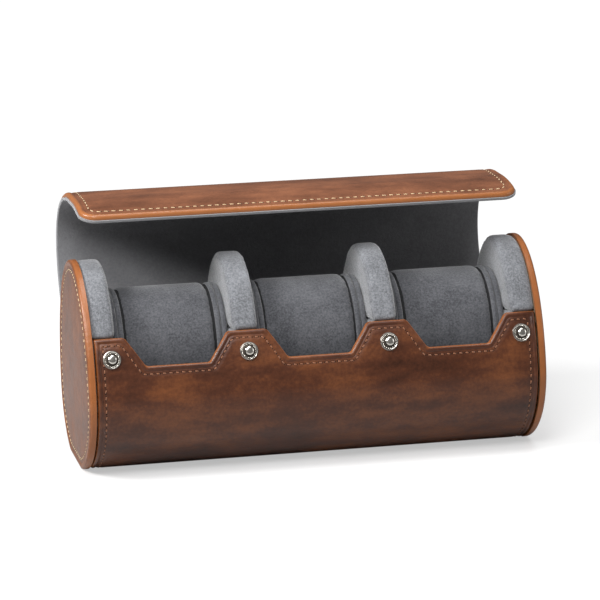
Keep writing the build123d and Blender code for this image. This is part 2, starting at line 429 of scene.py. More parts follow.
@dataclass
class SheetLine:
    """The middle of the case's one long sheet, from the front wall's top edge to the flap's edge."""

    oval: Oval = field(default_factory=Oval)
    sheet: float = 3.8
    tab_top: float = 15.1
    hinge_height: float = 5.0
    flap_gap: float = 1.2
    flap_rise: float = 0.2
    flap_drop: float = 18.7
    lip_length: float = 29.0
    opened: float = math.radians(54)
    sprung: float = math.radians(6)
    hinge_ease: float = 5.0
    flex_ease: float = 7.0
    base_ease: float = 4.0

    def __post_init__(self) -> None:
        """Draws the line in the frame and notes where it bends."""
        oval, half = self.oval, self.sheet / 2
        a, crown = oval.half_depth - half, oval.crown - half
        belly, middle = oval.belly - half, oval.widest
        top = math.pi - math.asin((self.tab_top - middle) / crown)
        case = [(a * math.cos(t), middle + crown * math.sin(t)) for t in self._steps(top, math.pi, 120)]
        case += [(a * math.cos(t), middle + belly * math.sin(t))
                 for t in self._steps(math.pi, 2 * math.pi, 900)[1:]]
        flap_a = (2 * oval.half_depth - self.sheet + self.flap_gap) / 2 + half
        flap_b = oval.crown + self.flap_rise + half
        flap_middle = flap_a - half - oval.half_depth - self.flap_gap
        rear = math.asin((self.hinge_height - middle) / flap_b)
        hinge = (flap_middle + flap_a * math.cos(rear), self.hinge_height)
        stop = math.asin((self.hinge_height - middle) / crown)
        case += [(a * math.cos(t), middle + crown * math.sin(t)) for t in self._steps(0, stop, 120)[1:]]
        level = self.oval.floor + half
        stood = []
        for v, w in case:
            y, z = oval.leant(v, w)
            stood.append((y - oval.middle, max(z, level) - oval.floor))
        edge_angle = math.pi - math.asin((self.tab_top - self.flap_drop - middle) / flap_b)
        flex_angle = math.pi - math.asin((self.tab_top - self.flap_drop + self.lip_length - middle) / flap_b)
        flex = (flap_middle + flap_a * math.cos(flex_angle), middle + flap_b * math.sin(flex_angle))
        flap = [(flap_middle + flap_a * math.cos(t), middle + flap_b * math.sin(t))
                for t in self._steps(rear, flex_angle, 700)]
        lip = [(flap_middle + flap_a * math.cos(t), middle + flap_b * math.sin(t))
               for t in self._steps(flex_angle, edge_angle, 160)[1:]]
        lip = [self._swung(p, flex, self.sprung) for p in lip]
        opened = [oval.stood(*self._swung(p, hinge, self.opened)) for p in flap + lip]
        self.hinge = oval.stood(*hinge)
        self.flex = oval.stood(*self._swung(flex, hinge, self.opened))
        points = stood + opened[1:]
        flat = [p for p in stood if abs(p[1] - half) < 1e-6]
        for corner in (min(flat), max(flat)):
            points = eased(points, corner, self.base_ease)
        points = eased(points, self.hinge, self.hinge_ease)
        points = eased(points, self.flex, self.flex_ease)
        self.line = Line(points)
        self.hinge_at = self.line.nearest(self.hinge)
        self.flex_at = self.line.nearest(self.flex)
        self.rear_bottom = self.line.nearest(max(flat))

    @staticmethod
    def _steps(start: float, end: float, count: int) -> list[float]:
        """Evenly spaced angles with both ends."""
        return [start + (end - start) * i / count for i in range(count + 1)]

    @staticmethod
    def _swung(point: Point, pivot: Point, angle: float) -> Point:
        """A section point turned about a pivot towards the rear."""
        v, w = point[0] - pivot[0], point[1] - pivot[1]
        c, s = math.cos(angle), math.sin(angle)
        return pivot[0] + v * c + w * s, pivot[1] - v * s + w * c

    def drop(self, height: float) -> float:
        """The length down the front wall from its top edge to a height in the section frame."""
        half, middle = self.sheet / 2, self.oval.widest
        crown, a = self.oval.crown - half, self.oval.half_depth - half
        t = math.pi - math.asin((height - middle) / crown)
        return self.line.nearest(self.oval.stood(a * math.cos(t), middle + crown * math.sin(t)))


# ------------------------------------------------------------------ flat patterns
@dataclass
class Pattern:
    """A piece cut flat: a rectangle with notches in its first edge and chosen corners drawn round."""

    name: str
    half_length: float
    start: float
    end: float
    notches: Sequence[tuple[float, float, float, float]] = ()  # middle, half top, half bottom, depth
    notch_corner: float = 2.4
    end_corner: float = 0.0
    start_corner: float = 0.0

    def cut(self) -> bpy.types.Object:
        """The flat outline as one face.

        Returns:
            The object, in edit mode and millimetres, with its face selected.
        """
        deselect_all()
        bpy.ops.mesh.primitive_plane_add(size=2, location=(0, 0, 0))
        piece = bpy.context.active_object
        piece.name = piece.data.name = self.name
        edit(piece)
        bpy.ops.transform.resize(value=(self.half_length, (self.end - self.start) / 2, 1))
        bpy.ops.transform.translate(value=(0, (self.end + self.start) / 2, 0))
        for middle, top, low, _ in self.notches:
            for x in (middle - top, middle - low, middle + low, middle + top):
                bpy.ops.mesh.select_all(action="SELECT")
                bpy.ops.mesh.bisect(plane_co=(x, 0, 0), plane_no=(1, 0, 0))
        for middle, _, low, depth in self.notches:
            choose(piece, lambda p: abs(p.y - self.start) < NEAR and abs(p.x - middle) < low + NEAR)
            bpy.ops.transform.translate(value=(0, depth, 0))
        if self.notches:
            bpy.ops.mesh.select_all(action="SELECT")
            bpy.ops.mesh.dissolve_limited(angle_limit=math.radians(1))
        for y, radius in ((self.start, self.start_corner), (self.end, self.end_corner)):
            if radius:
                choose(piece, lambda p: abs(p.y - y) < NEAR and abs(abs(p.x) - self.half_length) < NEAR)
                self._round(radius)
        bpy.ops.mesh.select_all(action="SELECT")
        bpy.ops.mesh.select_mode(type="FACE")
        return piece

    def soften(self, piece: bpy.types.Object, reach: float) -> None:
        """Draws the notches' corners round on every step of the worked edge at once.

        Args:
            piece: The panel in edit mode, with its steps made and its corners still mitred.
            reach: How far in from the edge the steps go.
        """
        rays = []
        for middle, top, low, depth in self.notches:
            side = ((top - low) - math.hypot(top - low, depth)) / depth
            for x, y in ((top, self.start), (low, self.start + depth)):
                rays += [(middle + way * x, y, -way * side) for way in (-1, 1)]

        def mitre(p: Vector) -> bool:
            """Whether an edge's middle lies on the mitre of a notch's corner."""
            return any(-NEAR < p.y - y < reach and abs(p.x - x - slope * (p.y - y)) < 2 * NEAR
                       for x, y, slope in rays)

        choose(piece, mitre, "EDGE")
        _, top, low, depth = self.notches[0]
        offset = self.notch_corner * math.tan(math.atan2(depth, top - low) / 2)
        bpy.ops.mesh.bevel(offset_type="OFFSET", offset=offset, segments=6, affect="EDGES")

    @staticmethod
    def _round(offset: float) -> None:
        """Draws the selected corners round."""
        bpy.ops.mesh.bevel(offset_type="OFFSET", offset=offset, segments=7, affect="VERTICES")


@dataclass
class Panel:
    """A flat pattern given thickness and a worked edge, and then wrapped round the sheet's line."""

    pattern: Pattern
    edge: Profile  # distance in from the edge and height of each step of the worked edge
    foot: float  # height of its underside
    wear: float = 1.2  # how far in from the edge it is rubbed; on suede, how far in its edge is painted lighter, partly as paler fibre and partly as a painted highlight
    step: float = 1.6  # spacing of the cuts across it that let it bend

    def make(self, line: "Line | Inside") -> bpy.types.Object:
        """Builds the wrapped panel.

        Args:
            line: The line that it is wrapped round, or the inside of one.

        Returns:
            A closed mesh in metres, with an attribute that is high along its edges, for the leather's rubbed edge
            and the suede's painted highlight.
        """
        piece = self.pattern.cut()
        bpy.ops.transform.translate(value=(0, 0, self.edge[0][1]))
        outline = self._outline(piece)
        stepped(self.edge)
        choose_open_edges()
        bpy.ops.mesh.extrude_edges_move(TRANSFORM_OT_translate={"value": (0, 0, self.foot - self.edge[0][1])})
        bpy.ops.mesh.edge_face_add()
        bpy.ops.mesh.select_all(action="SELECT")
        bpy.ops.mesh.normals_make_consistent(inside=False)
        if self.pattern.notches:
            self.pattern.soften(piece, self.edge[-1][0] + NEAR)
        s = self.pattern.start + self.step
        while s < self.pattern.end - 0.2 * self.step:
            bpy.ops.mesh.select_all(action="SELECT")
            bpy.ops.mesh.bisect(plane_co=(0, s, 0), plane_no=(0, 1, 0))
            s += self.step
        leave()
        self._wear(piece, outline)
        placed(piece, line.place)
        smooth(piece, CREASE)
        return piece

    @staticmethod
    def _outline(piece: bpy.types.Object) -> list[Vector]:
        """The corners of the flat outline in order."""
        leave()
        mesh = piece.data
        outline = [mesh.vertices[i].co.copy() for i in mesh.polygons[0].vertices]
        bpy.ops.object.mode_set(mode="EDIT")
        return outline

    def _wear(self, piece: bpy.types.Object, outline: list[Vector]) -> None:
        """Notes how near each point is to the worked edge: the leather is rubbed there, and the suede gets a painted
        highlight there.
        """
        values = []
        for vertex in piece.data.vertices:
            p = vertex.co.xy
            near = math.inf
            for a, b in zip(outline, outline[1:] + outline[:1]):
                run = (b - a).xy
                t = max(0.0, min(1.0, (p - a.xy).dot(run) / max(run.length_squared, 1e-9)))
                near = min(near, (p - a.xy - run * t).length)
            values.append(math.exp(-((near / self.wear) ** 2)))
        note(piece, "edge_wear_and_highlight", values)


def pierced(piece: bpy.types.Object, frames: Sequence[Matrix], radius: float, depth: float = 5.0) -> None:
    """Cuts round holes through a piece.

    Args:
        piece: The closed mesh.
        frames: The middle and axis of each hole, with millimetres as its own units.
        radius: The holes' radius.
        depth: The length of the punch that cuts them.
    """
    for frame in frames:
        deselect_all()
        bpy.ops.mesh.primitive_cylinder_add(vertices=48, radius=radius, depth=depth)
        punch = bpy.context.active_object
        punch.data.transform(frame)
        cut = piece.modifiers.new("hole", "BOOLEAN")
        cut.operation, cut.object, cut.solver = "DIFFERENCE", punch, "EXACT"
        finish_modifier(piece, "hole")
        bpy.data.objects.remove(punch)
    smooth(piece, CREASE)


# ------------------------------------------------------------------ finishes
class Field:
    """A shader value that adds the nodes of an expression when it is reckoned with."""

    def __init__(self, paint: "Paint", socket: bpy.types.NodeSocket) -> None:
        """Holds an output socket of a paint's node tree."""
        self.paint = paint
        self.socket = socket

    def _with(self, operation: str, *values: "Field | float") -> "Field":
        """The result of a Math node on this value and others."""
        return self.paint.add("ShaderNodeMath", {"operation": operation}, dict(enumerate(values)))[0]

    def __add__(self, other: "Field | float") -> "Field":
        """The sum."""
        return self._with("ADD", self, other)

    __radd__ = __add__

    def __sub__(self, other: "Field | float") -> "Field":
        """The difference."""
        return self._with("SUBTRACT", self, other)

    def __rsub__(self, other: float) -> "Field":
        """The difference the other way."""
        return self._with("SUBTRACT", other, self)

    def __mul__(self, other: "Field | float") -> "Field":
        """The product."""
        return self._with("MULTIPLY", self, other)

    __rmul__ = __mul__

    def __pow__(self, power: float) -> "Field":
        """A power."""
        return self._with("POWER", self, power)

    def between(self, low: float, high: float) -> "Field":
        """0 below a low value, 1 above a high one and smooth between."""
        return self.paint.add("ShaderNodeMapRange", {"interpolation_type": "SMOOTHSTEP", "clamp": True},
                              {"Value": self, "From Min": low, "From Max": high})[0]


class Paint:
    """A material and the few ways in which its nodes are added."""

    def __init__(self, name: str, shader: dict[str, object]) -> None:
        """Makes a material with one Principled shader.

        Args:
            name: The material's name.
            shader: Constants for the shader's sockets.
        """
        self.material = bpy.data.materials.new(name)
        self.material.use_nodes = True
        self.tree = self.material.node_tree
        self.tree.nodes.clear()
        out = self.tree.nodes.new("ShaderNodeOutputMaterial")
        self.shader = self.tree.nodes.new("ShaderNodeBsdfPrincipled")
        self.tree.links.new(self.shader.outputs[0], out.inputs[0])
        for socket, value in shader.items():
            self.shader.inputs[socket].default_value = value
        self.coordinates = self.add("ShaderNodeTexCoord", {}, {})["Object"]

    def add(self, kind: str, settings: dict[str, object], values: dict) -> "Outputs":
        """Adds a node.

        Args:
            kind: The node's type.
            settings: Its settings, which are set first.
            values: A number, colour or Field for each named or numbered socket.

        Returns:
            Its outputs.
        """
        node = self.tree.nodes.new(kind)
        for key, value in settings.items():
            setattr(node, key, value)
        for key, value in values.items():
            self.put(node.inputs[key], value)
        return Outputs(self, node)

    def put(self, socket: bpy.types.NodeSocket, value: object) -> None:
        """Links a Field to a socket, or sets a constant on it."""
        if isinstance(value, Field):
            self.tree.links.new(value.socket, socket)
        else:
            socket.default_value = value

    def noise(self, size: float, detail: float = 3.0, rough: float = 0.55, stretch: tuple = (1, 1, 1)) -> Field:
        """Cloudy noise whose features are about a size in millimetres."""
        at = self.add("ShaderNodeMapping", {}, {"Vector": self.coordinates, "Scale": stretch})[0]
        return self.add("ShaderNodeTexNoise", {}, {"Vector": at, "Scale": 1000 / size, "Detail": detail,
                                                   "Roughness": rough})[0]

    def pebble(self, size: float) -> Field:
        """The distance inside the cells of a grain of a size in millimetres."""
        return self.add("ShaderNodeTexVoronoi", {"feature": "F1"}, {"Vector": self.coordinates,
                                                                    "Scale": 1000 / size})["Distance"]

    def attribute(self, name: str) -> Field:
        """A number stored on the mesh."""
        return self.add("ShaderNodeAttribute", {"attribute_name": name}, {})["Fac"]

    def ramp(self, value: Field, stops: Sequence[tuple[float, tuple]]) -> Field:
        """A colour for a value.

        Args:
            value: The value.
            stops: Each place and its colour.

        Returns:
            The colour.
        """
        node = self.tree.nodes.new("ShaderNodeValToRGB")
        ramp = node.color_ramp
        while len(ramp.elements) < len(stops):
            ramp.elements.new(0.5)
        for element, (place, colour) in zip(ramp.elements, stops):
            element.position = place
            element.color = (*colour, 1)
        self.put(node.inputs[0], value)
        return Field(self, node.outputs[0])

    def mixed(self, share: "Field | float", a: "Field | tuple", b: "Field | tuple") -> Field:
        """Two colours mixed by a share of the second."""
        node = self.tree.nodes.new("ShaderNodeMix")
        node.data_type = "RGBA"
        sockets = {s.identifier: s for s in node.inputs}
        self.put(sockets["Factor_Float"], share)
        for key, value in (("A_Color", a), ("B_Color", b)):
            self.put(sockets[key], value if isinstance(value, Field) else (*value, 1))
        return Field(self, next(s for s in node.outputs if s.identifier == "Result_Color"))

    def bumped(self, height: Field, depth: float, under: "Field | None" = None) -> Field:
        """A normal for a height of a depth in millimetres."""
        values = {"Height": height, "Strength": 1.0, "Distance": depth * MM}
        if under is not None:
            values["Normal"] = under
        return self.add("ShaderNodeBump", {}, values)[0]

    def finish(self, **sockets: Field) -> bpy.types.Material:
        """Links fields to the shader.

        Args:
            sockets: Field for each socket, with _ for a space in its name.

        Returns:
            The material.
        """
        for name, value in sockets.items():
            self.put(self.shader.inputs[name.replace("_", " ")], value)
        return self.material


class Outputs:
    """A node's outputs as fields, by name or number."""

    def __init__(self, paint: Paint, node: bpy.types.Node) -> None:
        """Holds the node."""
        self.paint = paint
        self.node = node

    def __getitem__(self, key: "str | int") -> Field:
        """The output with a name or number."""
        return Field(self.paint, self.node.outputs[key])


@dataclass(frozen=True)
class WaxedLeather:
    """Pull-up leather: dark in its hollows, orange where it is stretched over an edge."""

    name: str
    deep: tuple
    middle: tuple
    light: tuple
    edge: tuple
    roughness: float = 0.42
    patch: float = 26.0
    rubbed: float = 0.8

    def make(self) -> bpy.types.Material:
        """The material."""
        p = Paint(self.name, {"Specular IOR Level": 0.3, "Coat Weight": 0.07, "Coat Roughness": 0.2})
        cloud = p.noise(self.patch, 4, 0.6, (0.6, 1, 1))
        streak = p.noise(7.0, 3, 0.55, (0.35, 1, 1))
        fine = p.noise(1.6, 3, 0.6)
        tone = cloud * 0.52 + streak * 0.3 + fine * 0.18
        colour = p.ramp(tone, ((0.36, self.deep), (0.5, self.middle), (0.66, self.light)))
        edge_wear_and_highlight = p.attribute("edge_wear_and_highlight")
        stretched = (edge_wear_and_highlight + (streak - 0.5) * 0.5).between(0.2, 0.95)
        colour = p.mixed(stretched * self.rubbed, colour, self.edge)
        pores = p.pebble(0.62)
        grain = pores * 0.6 + p.noise(0.35, 2, 0.5) * 0.4
        wrinkle = p.noise(3.4, 4, 0.6, (0.7, 1, 1))
        normal = p.bumped(grain, 0.05, p.bumped(wrinkle, 0.16))
        rough = self.roughness + (cloud - 0.5) * 0.3 + (fine - 0.5) * 0.16 - stretched * 0.08
        return p.finish(Base_Color=colour, Roughness=rough, Normal=normal)


@dataclass(frozen=True)
class Suede:
    """Brushed microfibre suede, with its nap pushed into light and dark, and painted lighter along its cut edges:
    partly paler fibre, partly a painted highlight.
    """

    name: str
    dark: tuple
    light: tuple
    nap: float = 1.1
    sheen: float = 0.55

    def make(self) -> bpy.types.Material:
        """The material."""
        p = Paint(self.name, {"Specular IOR Level": 0.15, "Sheen Weight": self.sheen, "Sheen Roughness": 0.45,
                              "Sheen Tint": (1.0, 1.0, 1.0, 1.0)})
        fuzz = p.noise(self.nap, 4, 0.7)
        hair = p.noise(0.4, 3, 0.65)
        brushed = p.noise(16.0, 3, 0.6)
        tone = fuzz * 0.5 + hair * 0.25 + brushed * 0.25
        colour = p.mixed(tone.between(0.34, 0.66), self.dark, self.light)
        # painted highlight: near its cut edges the suede is mixed towards a much lighter grey, partly for paler
        # fibre and partly for light catching the edge
        colour = p.mixed(p.attribute("edge_wear_and_highlight") * 0.6, colour, tuple(min(1.0, 2.2 * c + 0.12) for c in self.light))
        normal = p.bumped(fuzz * 0.7 + hair * 0.3, 0.28)
        return p.finish(Base_Color=colour, Roughness=0.88 + (hair - 0.5) * 0.2, Normal=normal)


@dataclass(frozen=True)
class Plated:
    """Antique nickel plate: bright on its rounds and dark in its hollows."""

    name: str
    bright: tuple = (0.62, 0.59, 0.54)
    tarnish: tuple = (0.07, 0.06, 0.05)
    roughness: float = 0.24

    def make(self) -> bpy.types.Material:
        """The material."""
        p = Paint(self.name, {"Metallic": 1.0})
        stain = p.noise(1.1, 4, 0.65)
        hollow = p.attribute("hollow")
        share = (stain * 0.5 + hollow).between(0.42, 1.1)
        colour = p.mixed(share, self.bright, self.tarnish)
        normal = p.bumped(p.noise(0.5, 2), 0.02)
        return p.finish(Base_Color=colour, Roughness=self.roughness + share * 0.3, Normal=normal)


@dataclass(frozen=True)
class Thread:
    """Waxed twisted thread."""

    name: str
    colour: tuple

    def make(self) -> bpy.types.Material:
        """The material."""
        p = Paint(self.name, {"Specular IOR Level": 0.35, "Sheen Weight": 0.2})
        ply = p.noise(0.45, 2, 0.5)
        colour = p.mixed(ply.between(0.35, 0.65), tuple(c * 0.62 for c in self.colour), self.colour)
        return p.finish(Base_Color=colour, Roughness=0.6 + (ply - 0.5) * 0.3, Normal=p.bumped(ply, 0.08))


@dataclass(frozen=True)
class Plain:
    """A dull inner material, such as board or tape, with a little fibre in it."""

    name: str
    colour: tuple
    roughness: float = 0.85
    fibre: float = 0.8

    def make(self) -> bpy.types.Material:
        """The material."""
        p = Paint(self.name, {"Specular IOR Level": 0.25})
        fleck = p.noise(self.fibre, 4, 0.7)
        colour = p.mixed(fleck.between(0.3, 0.7), tuple(c * 0.7 for c in self.colour), self.colour)
        return p.finish(Base_Color=colour, Roughness=self.roughness + (fleck - 0.5) * 0.15,
                        Normal=p.bumped(fleck, 0.06))


@dataclass
class Finishes:
    """Every material of the case."""

    wall: bpy.types.Material = field(default_factory=WaxedLeather(
        "wall_leather", deep=(0.024, 0.008, 0.004), middle=(0.062, 0.019, 0.008), light=(0.145, 0.046, 0.014),
        edge=(0.25, 0.080, 0.022), roughness=0.36, patch=30, rubbed=0.75).make)
    end: bpy.types.Material = field(default_factory=WaxedLeather(
        "end_leather", deep=(0.060, 0.022, 0.010), middle=(0.115, 0.042, 0.019), light=(0.190, 0.074, 0.033),
        edge=(0.30, 0.100, 0.027), roughness=0.40, patch=34, rubbed=0.65).make)
    flap: bpy.types.Material = field(default_factory=WaxedLeather(
        "flap_leather", deep=(0.085, 0.031, 0.015), middle=(0.145, 0.054, 0.026), light=(0.225, 0.087, 0.041),
        edge=(0.33, 0.115, 0.030), roughness=0.42, patch=22, rubbed=0.65).make)
    lining: bpy.types.Material = field(default_factory=Suede(
        "lining_suede", dark=(0.016, 0.016, 0.018), light=(0.085, 0.085, 0.090), nap=1.3, sheen=0.3).make)
    pad: bpy.types.Material = field(default_factory=Suede(
        "pad_suede", dark=(0.065, 0.067, 0.073), light=(0.215, 0.222, 0.238), nap=1.0, sheen=0.45).make)
    cushion: bpy.types.Material = field(default_factory=Suede(
        "cushion_suede", dark=(0.032, 0.033, 0.038), light=(0.105, 0.107, 0.116), nap=1.0, sheen=0.35).make)
    pale_thread: bpy.types.Material = field(default_factory=Thread("pale_thread", (0.62, 0.45, 0.26)).make)
    tan_thread: bpy.types.Material = field(default_factory=Thread("tan_thread", (0.23, 0.085, 0.033)).make)
    metal: bpy.types.Material = field(default_factory=Plated("snap_plate").make)
    wire: bpy.types.Material = field(default_factory=Plated(
        "spring_wire", bright=(0.62, 0.62, 0.62), tarnish=(0.3, 0.3, 0.3), roughness=0.3).make)
    # painted shade: the needle holes are near-black discs that stand for the shade inside each hole
    hole: bpy.types.Material = field(default_factory=Plain(
        "stitch_hole_shade", (0.008, 0.005, 0.004), roughness=0.9).make)
    board: bpy.types.Material = field(default_factory=Plain("fibre_board", (0.30, 0.22, 0.15)).make)
    tape: bpy.types.Material = field(default_factory=Plain("hinge_tape", (0.03, 0.02, 0.016)).make)
    foam: bpy.types.Material = field(default_factory=Plain(
        "black_foam", (0.012, 0.012, 0.013), roughness=0.95, fibre=1.2).make)


def dress(piece: bpy.types.Object, material: bpy.types.Material) -> bpy.types.Object:
    """Gives a whole piece one material.

    Args:
        piece: The object.
        material: Its finish.

    Returns:
        The same object.
    """
    if piece.data.materials:
        for index in range(len(piece.data.materials)):
            piece.data.materials[index] = material
    else:
        piece.data.materials.append(material)
    return piece


# ------------------------------------------------------------------ stitching
@dataclass
class Seam:
    """A row of saddle stitches along a path of a flat pattern."""

    path: Sequence[Point]  # corners of the path
    radius: float = 3.0  # of its corners
    pitch: float = 3.1
    length: float = 1.8
    thickness: float = 0.6
    slant: float = 8.0  # degrees across the path
    height: float = 0.0  # of the leather over the sheet's middle

    def spots(self) -> list[tuple[float, float, float]]:
        """Place and heading of each stitch, evenly spaced."""
        points = self._rounded()
        lengths = [0.0]
        for a, b in zip(points, points[1:]):
            lengths.append(lengths[-1] + math.dist(a, b))
        count = max(2, round(lengths[-1] / self.pitch))
        spots = []
        for k in range(count):
            s = (k + 0.5) * lengths[-1] / count
            i = min(bisect.bisect_right(lengths, s) - 1, len(points) - 2)
            a, b = points[i], points[i + 1]
            t = (s - lengths[i]) / max(lengths[i + 1] - lengths[i], 1e-9)
            run, rise = b[0] - a[0], b[1] - a[1]
            spots.append((a[0] + run * t, a[1] + rise * t, math.atan2(rise, run)))
        return spots

    def _rounded(self) -> list[Point]:
        """The path with its corners drawn round."""
        corners = [Vector(p) for p in self.path]
        points = [corners[0]]
        for a, c, b in zip(corners, corners[1:], corners[2:]):
            reach = min(self.radius, (a - c).length * 0.45, (b - c).length * 0.45)
            start, end = c + (a - c).normalized() * reach, c + (b - c).normalized() * reach
            points += [start.lerp(c, k / 8).lerp(c.lerp(end, k / 8), k / 8) for k in range(9)]
        points.append(corners[-1])
        return [tuple(p) for p in points]


class Stitcher:
    """Sews seams: one stitch and one needle hole are modelled, and their copies are laid in place; each hole is a
    flat near-black disc on the leather, painted shade standing for the pit.
    """

    ROUND = 0.5  # radius of the modelled stitch and hole
    DRAWN_OUT = 0.9  # how far each end of the modelled stitch is drawn out
    HALF = ROUND + DRAWN_OUT
    STRAY = 4.0  # degrees by which a stitch may lean off its slant
    LENGTHS = (0.93, 1.06)  # shares of its length between which a stitch varies
    PROUD = 0.06  # height of a stitch's middle over the leather
    SAG = 0.12  # how much lower its ends lie
    FLAT = 0.8  # share of its thickness that it keeps in height
    HOLE = 0.8  # size of a hole as a share of the modelled one
    HOLE_PROUD = 0.04

    def __init__(self, seed: int = 7) -> None:
        """Models the stitch and the hole, in millimetres."""
        self.random = random.Random(seed)
        deselect_all()
        bpy.ops.mesh.primitive_uv_sphere_add(segments=8, ring_count=6, radius=self.ROUND)
        self.stitch = bpy.context.active_object
        edit(self.stitch)
        for way in (1, -1):
            choose(self.stitch, lambda p: p.z * way > 0.1)
            bpy.ops.transform.translate(value=(0, 0, way * self.DRAWN_OUT))
        leave()
        # the hole is a flat disc, not a pit: its dark finish is painted shade
        bpy.ops.mesh.primitive_circle_add(vertices=9, radius=self.ROUND, fill_type="TRIFAN")
        self.hole = bpy.context.active_object

    def sew(self, seam: Seam, place: Callable[[float, float, float], Vector], name: str) -> tuple:
        """Lays a seam's stitches and holes on a surface.

        Args:
            seam: The seam in flat coordinates.
            place: Where a flat point lies in the frame, in metres.
            name: The name for the stitches; the holes' name is made from it.

        Returns:
            The stitches and the holes, two objects.
        """
        stitch_mesh, hole_mesh = self.stitch.data, self.hole.data
        made: list[tuple[list, list]] = [([], []), ([], [])]
        for x, s, heading in seam.spots():
            lean = heading + math.radians(seam.slant + self.random.uniform(-self.STRAY, self.STRAY))
            along = (math.cos(lean), math.sin(lean))
            across = (-along[1], along[0])
            length = seam.length * self.random.uniform(*self.LENGTHS)
            grow = length / (2 * self.HALF)
            self._lay(made[0], stitch_mesh, lambda p: place(
                x + along[0] * p.z * grow + across[0] * p.x * seam.thickness,
                s + along[1] * p.z * grow + across[1] * p.x * seam.thickness,
                seam.height + self.PROUD + p.y * seam.thickness * self.FLAT - self.SAG * (p.z / self.HALF) ** 2))
            for end in (-1, 1):
                cx, cs = x + along[0] * end * length / 2, s + along[1] * end * length / 2
                self._lay(made[1], hole_mesh, lambda p: place(
                    cx + p.x * self.HOLE, cs + p.y * self.HOLE, seam.height + self.HOLE_PROUD))
        pieces = []
        for (points, faces), label in zip(made, (name, f"{name}_holes")):
            mesh = bpy.data.meshes.new(label)
            mesh.from_pydata(points, [], faces)
            piece = linked(label, mesh)
            smooth(piece, 80)
            pieces.append(piece)
        return tuple(pieces)

    @staticmethod
    def _lay(into: tuple[list, list], mesh: bpy.types.Mesh, place: Callable[[Vector], Vector]) -> None:
        """Adds one copy of a small mesh to a growing one."""
        points, faces = into
        first = len(points)
        points.extend(place(v.co) for v in mesh.vertices)
        faces.extend([first + i for i in f.vertices] for f in mesh.polygons)

    def put_away(self) -> None:
        """Removes the two models once everything is sewn."""
        for piece in (self.stitch, self.hole):
            bpy.data.objects.remove(piece)


# ------------------------------------------------------------------ the long sheet: wall, back and flap
TURNED_EDGE: Profile = ((0.0, 0.45), (0.12, 0.95), (0.42, 1.42), (0.85, 1.72), (1.3, 1.84), (1.75, 1.8),
                        (2.1, 1.62), (2.4, 1.42), (2.7, 1.46), (3.2, 1.66), (3.7, 1.62), (4.2, 1.66), (4.9, 1.84),
                        (5.9, 1.9))
FLAP_EDGE: Profile = ((0.0, 0.2), (0.14, 0.8), (0.45, 1.32), (0.9, 1.7), (1.4, 1.9), (1.95, 1.94), (2.5, 1.8),
                      (2.9, 1.62), (3.3, 1.6), (4.1, 1.72), (5.0, 1.7), (5.8, 1.84), (6.8, 1.9))
SUEDE_EDGE: Profile = ((0.0, 0.3), (0.12, 0.62), (0.4, 0.82), (0.8, 0.9))


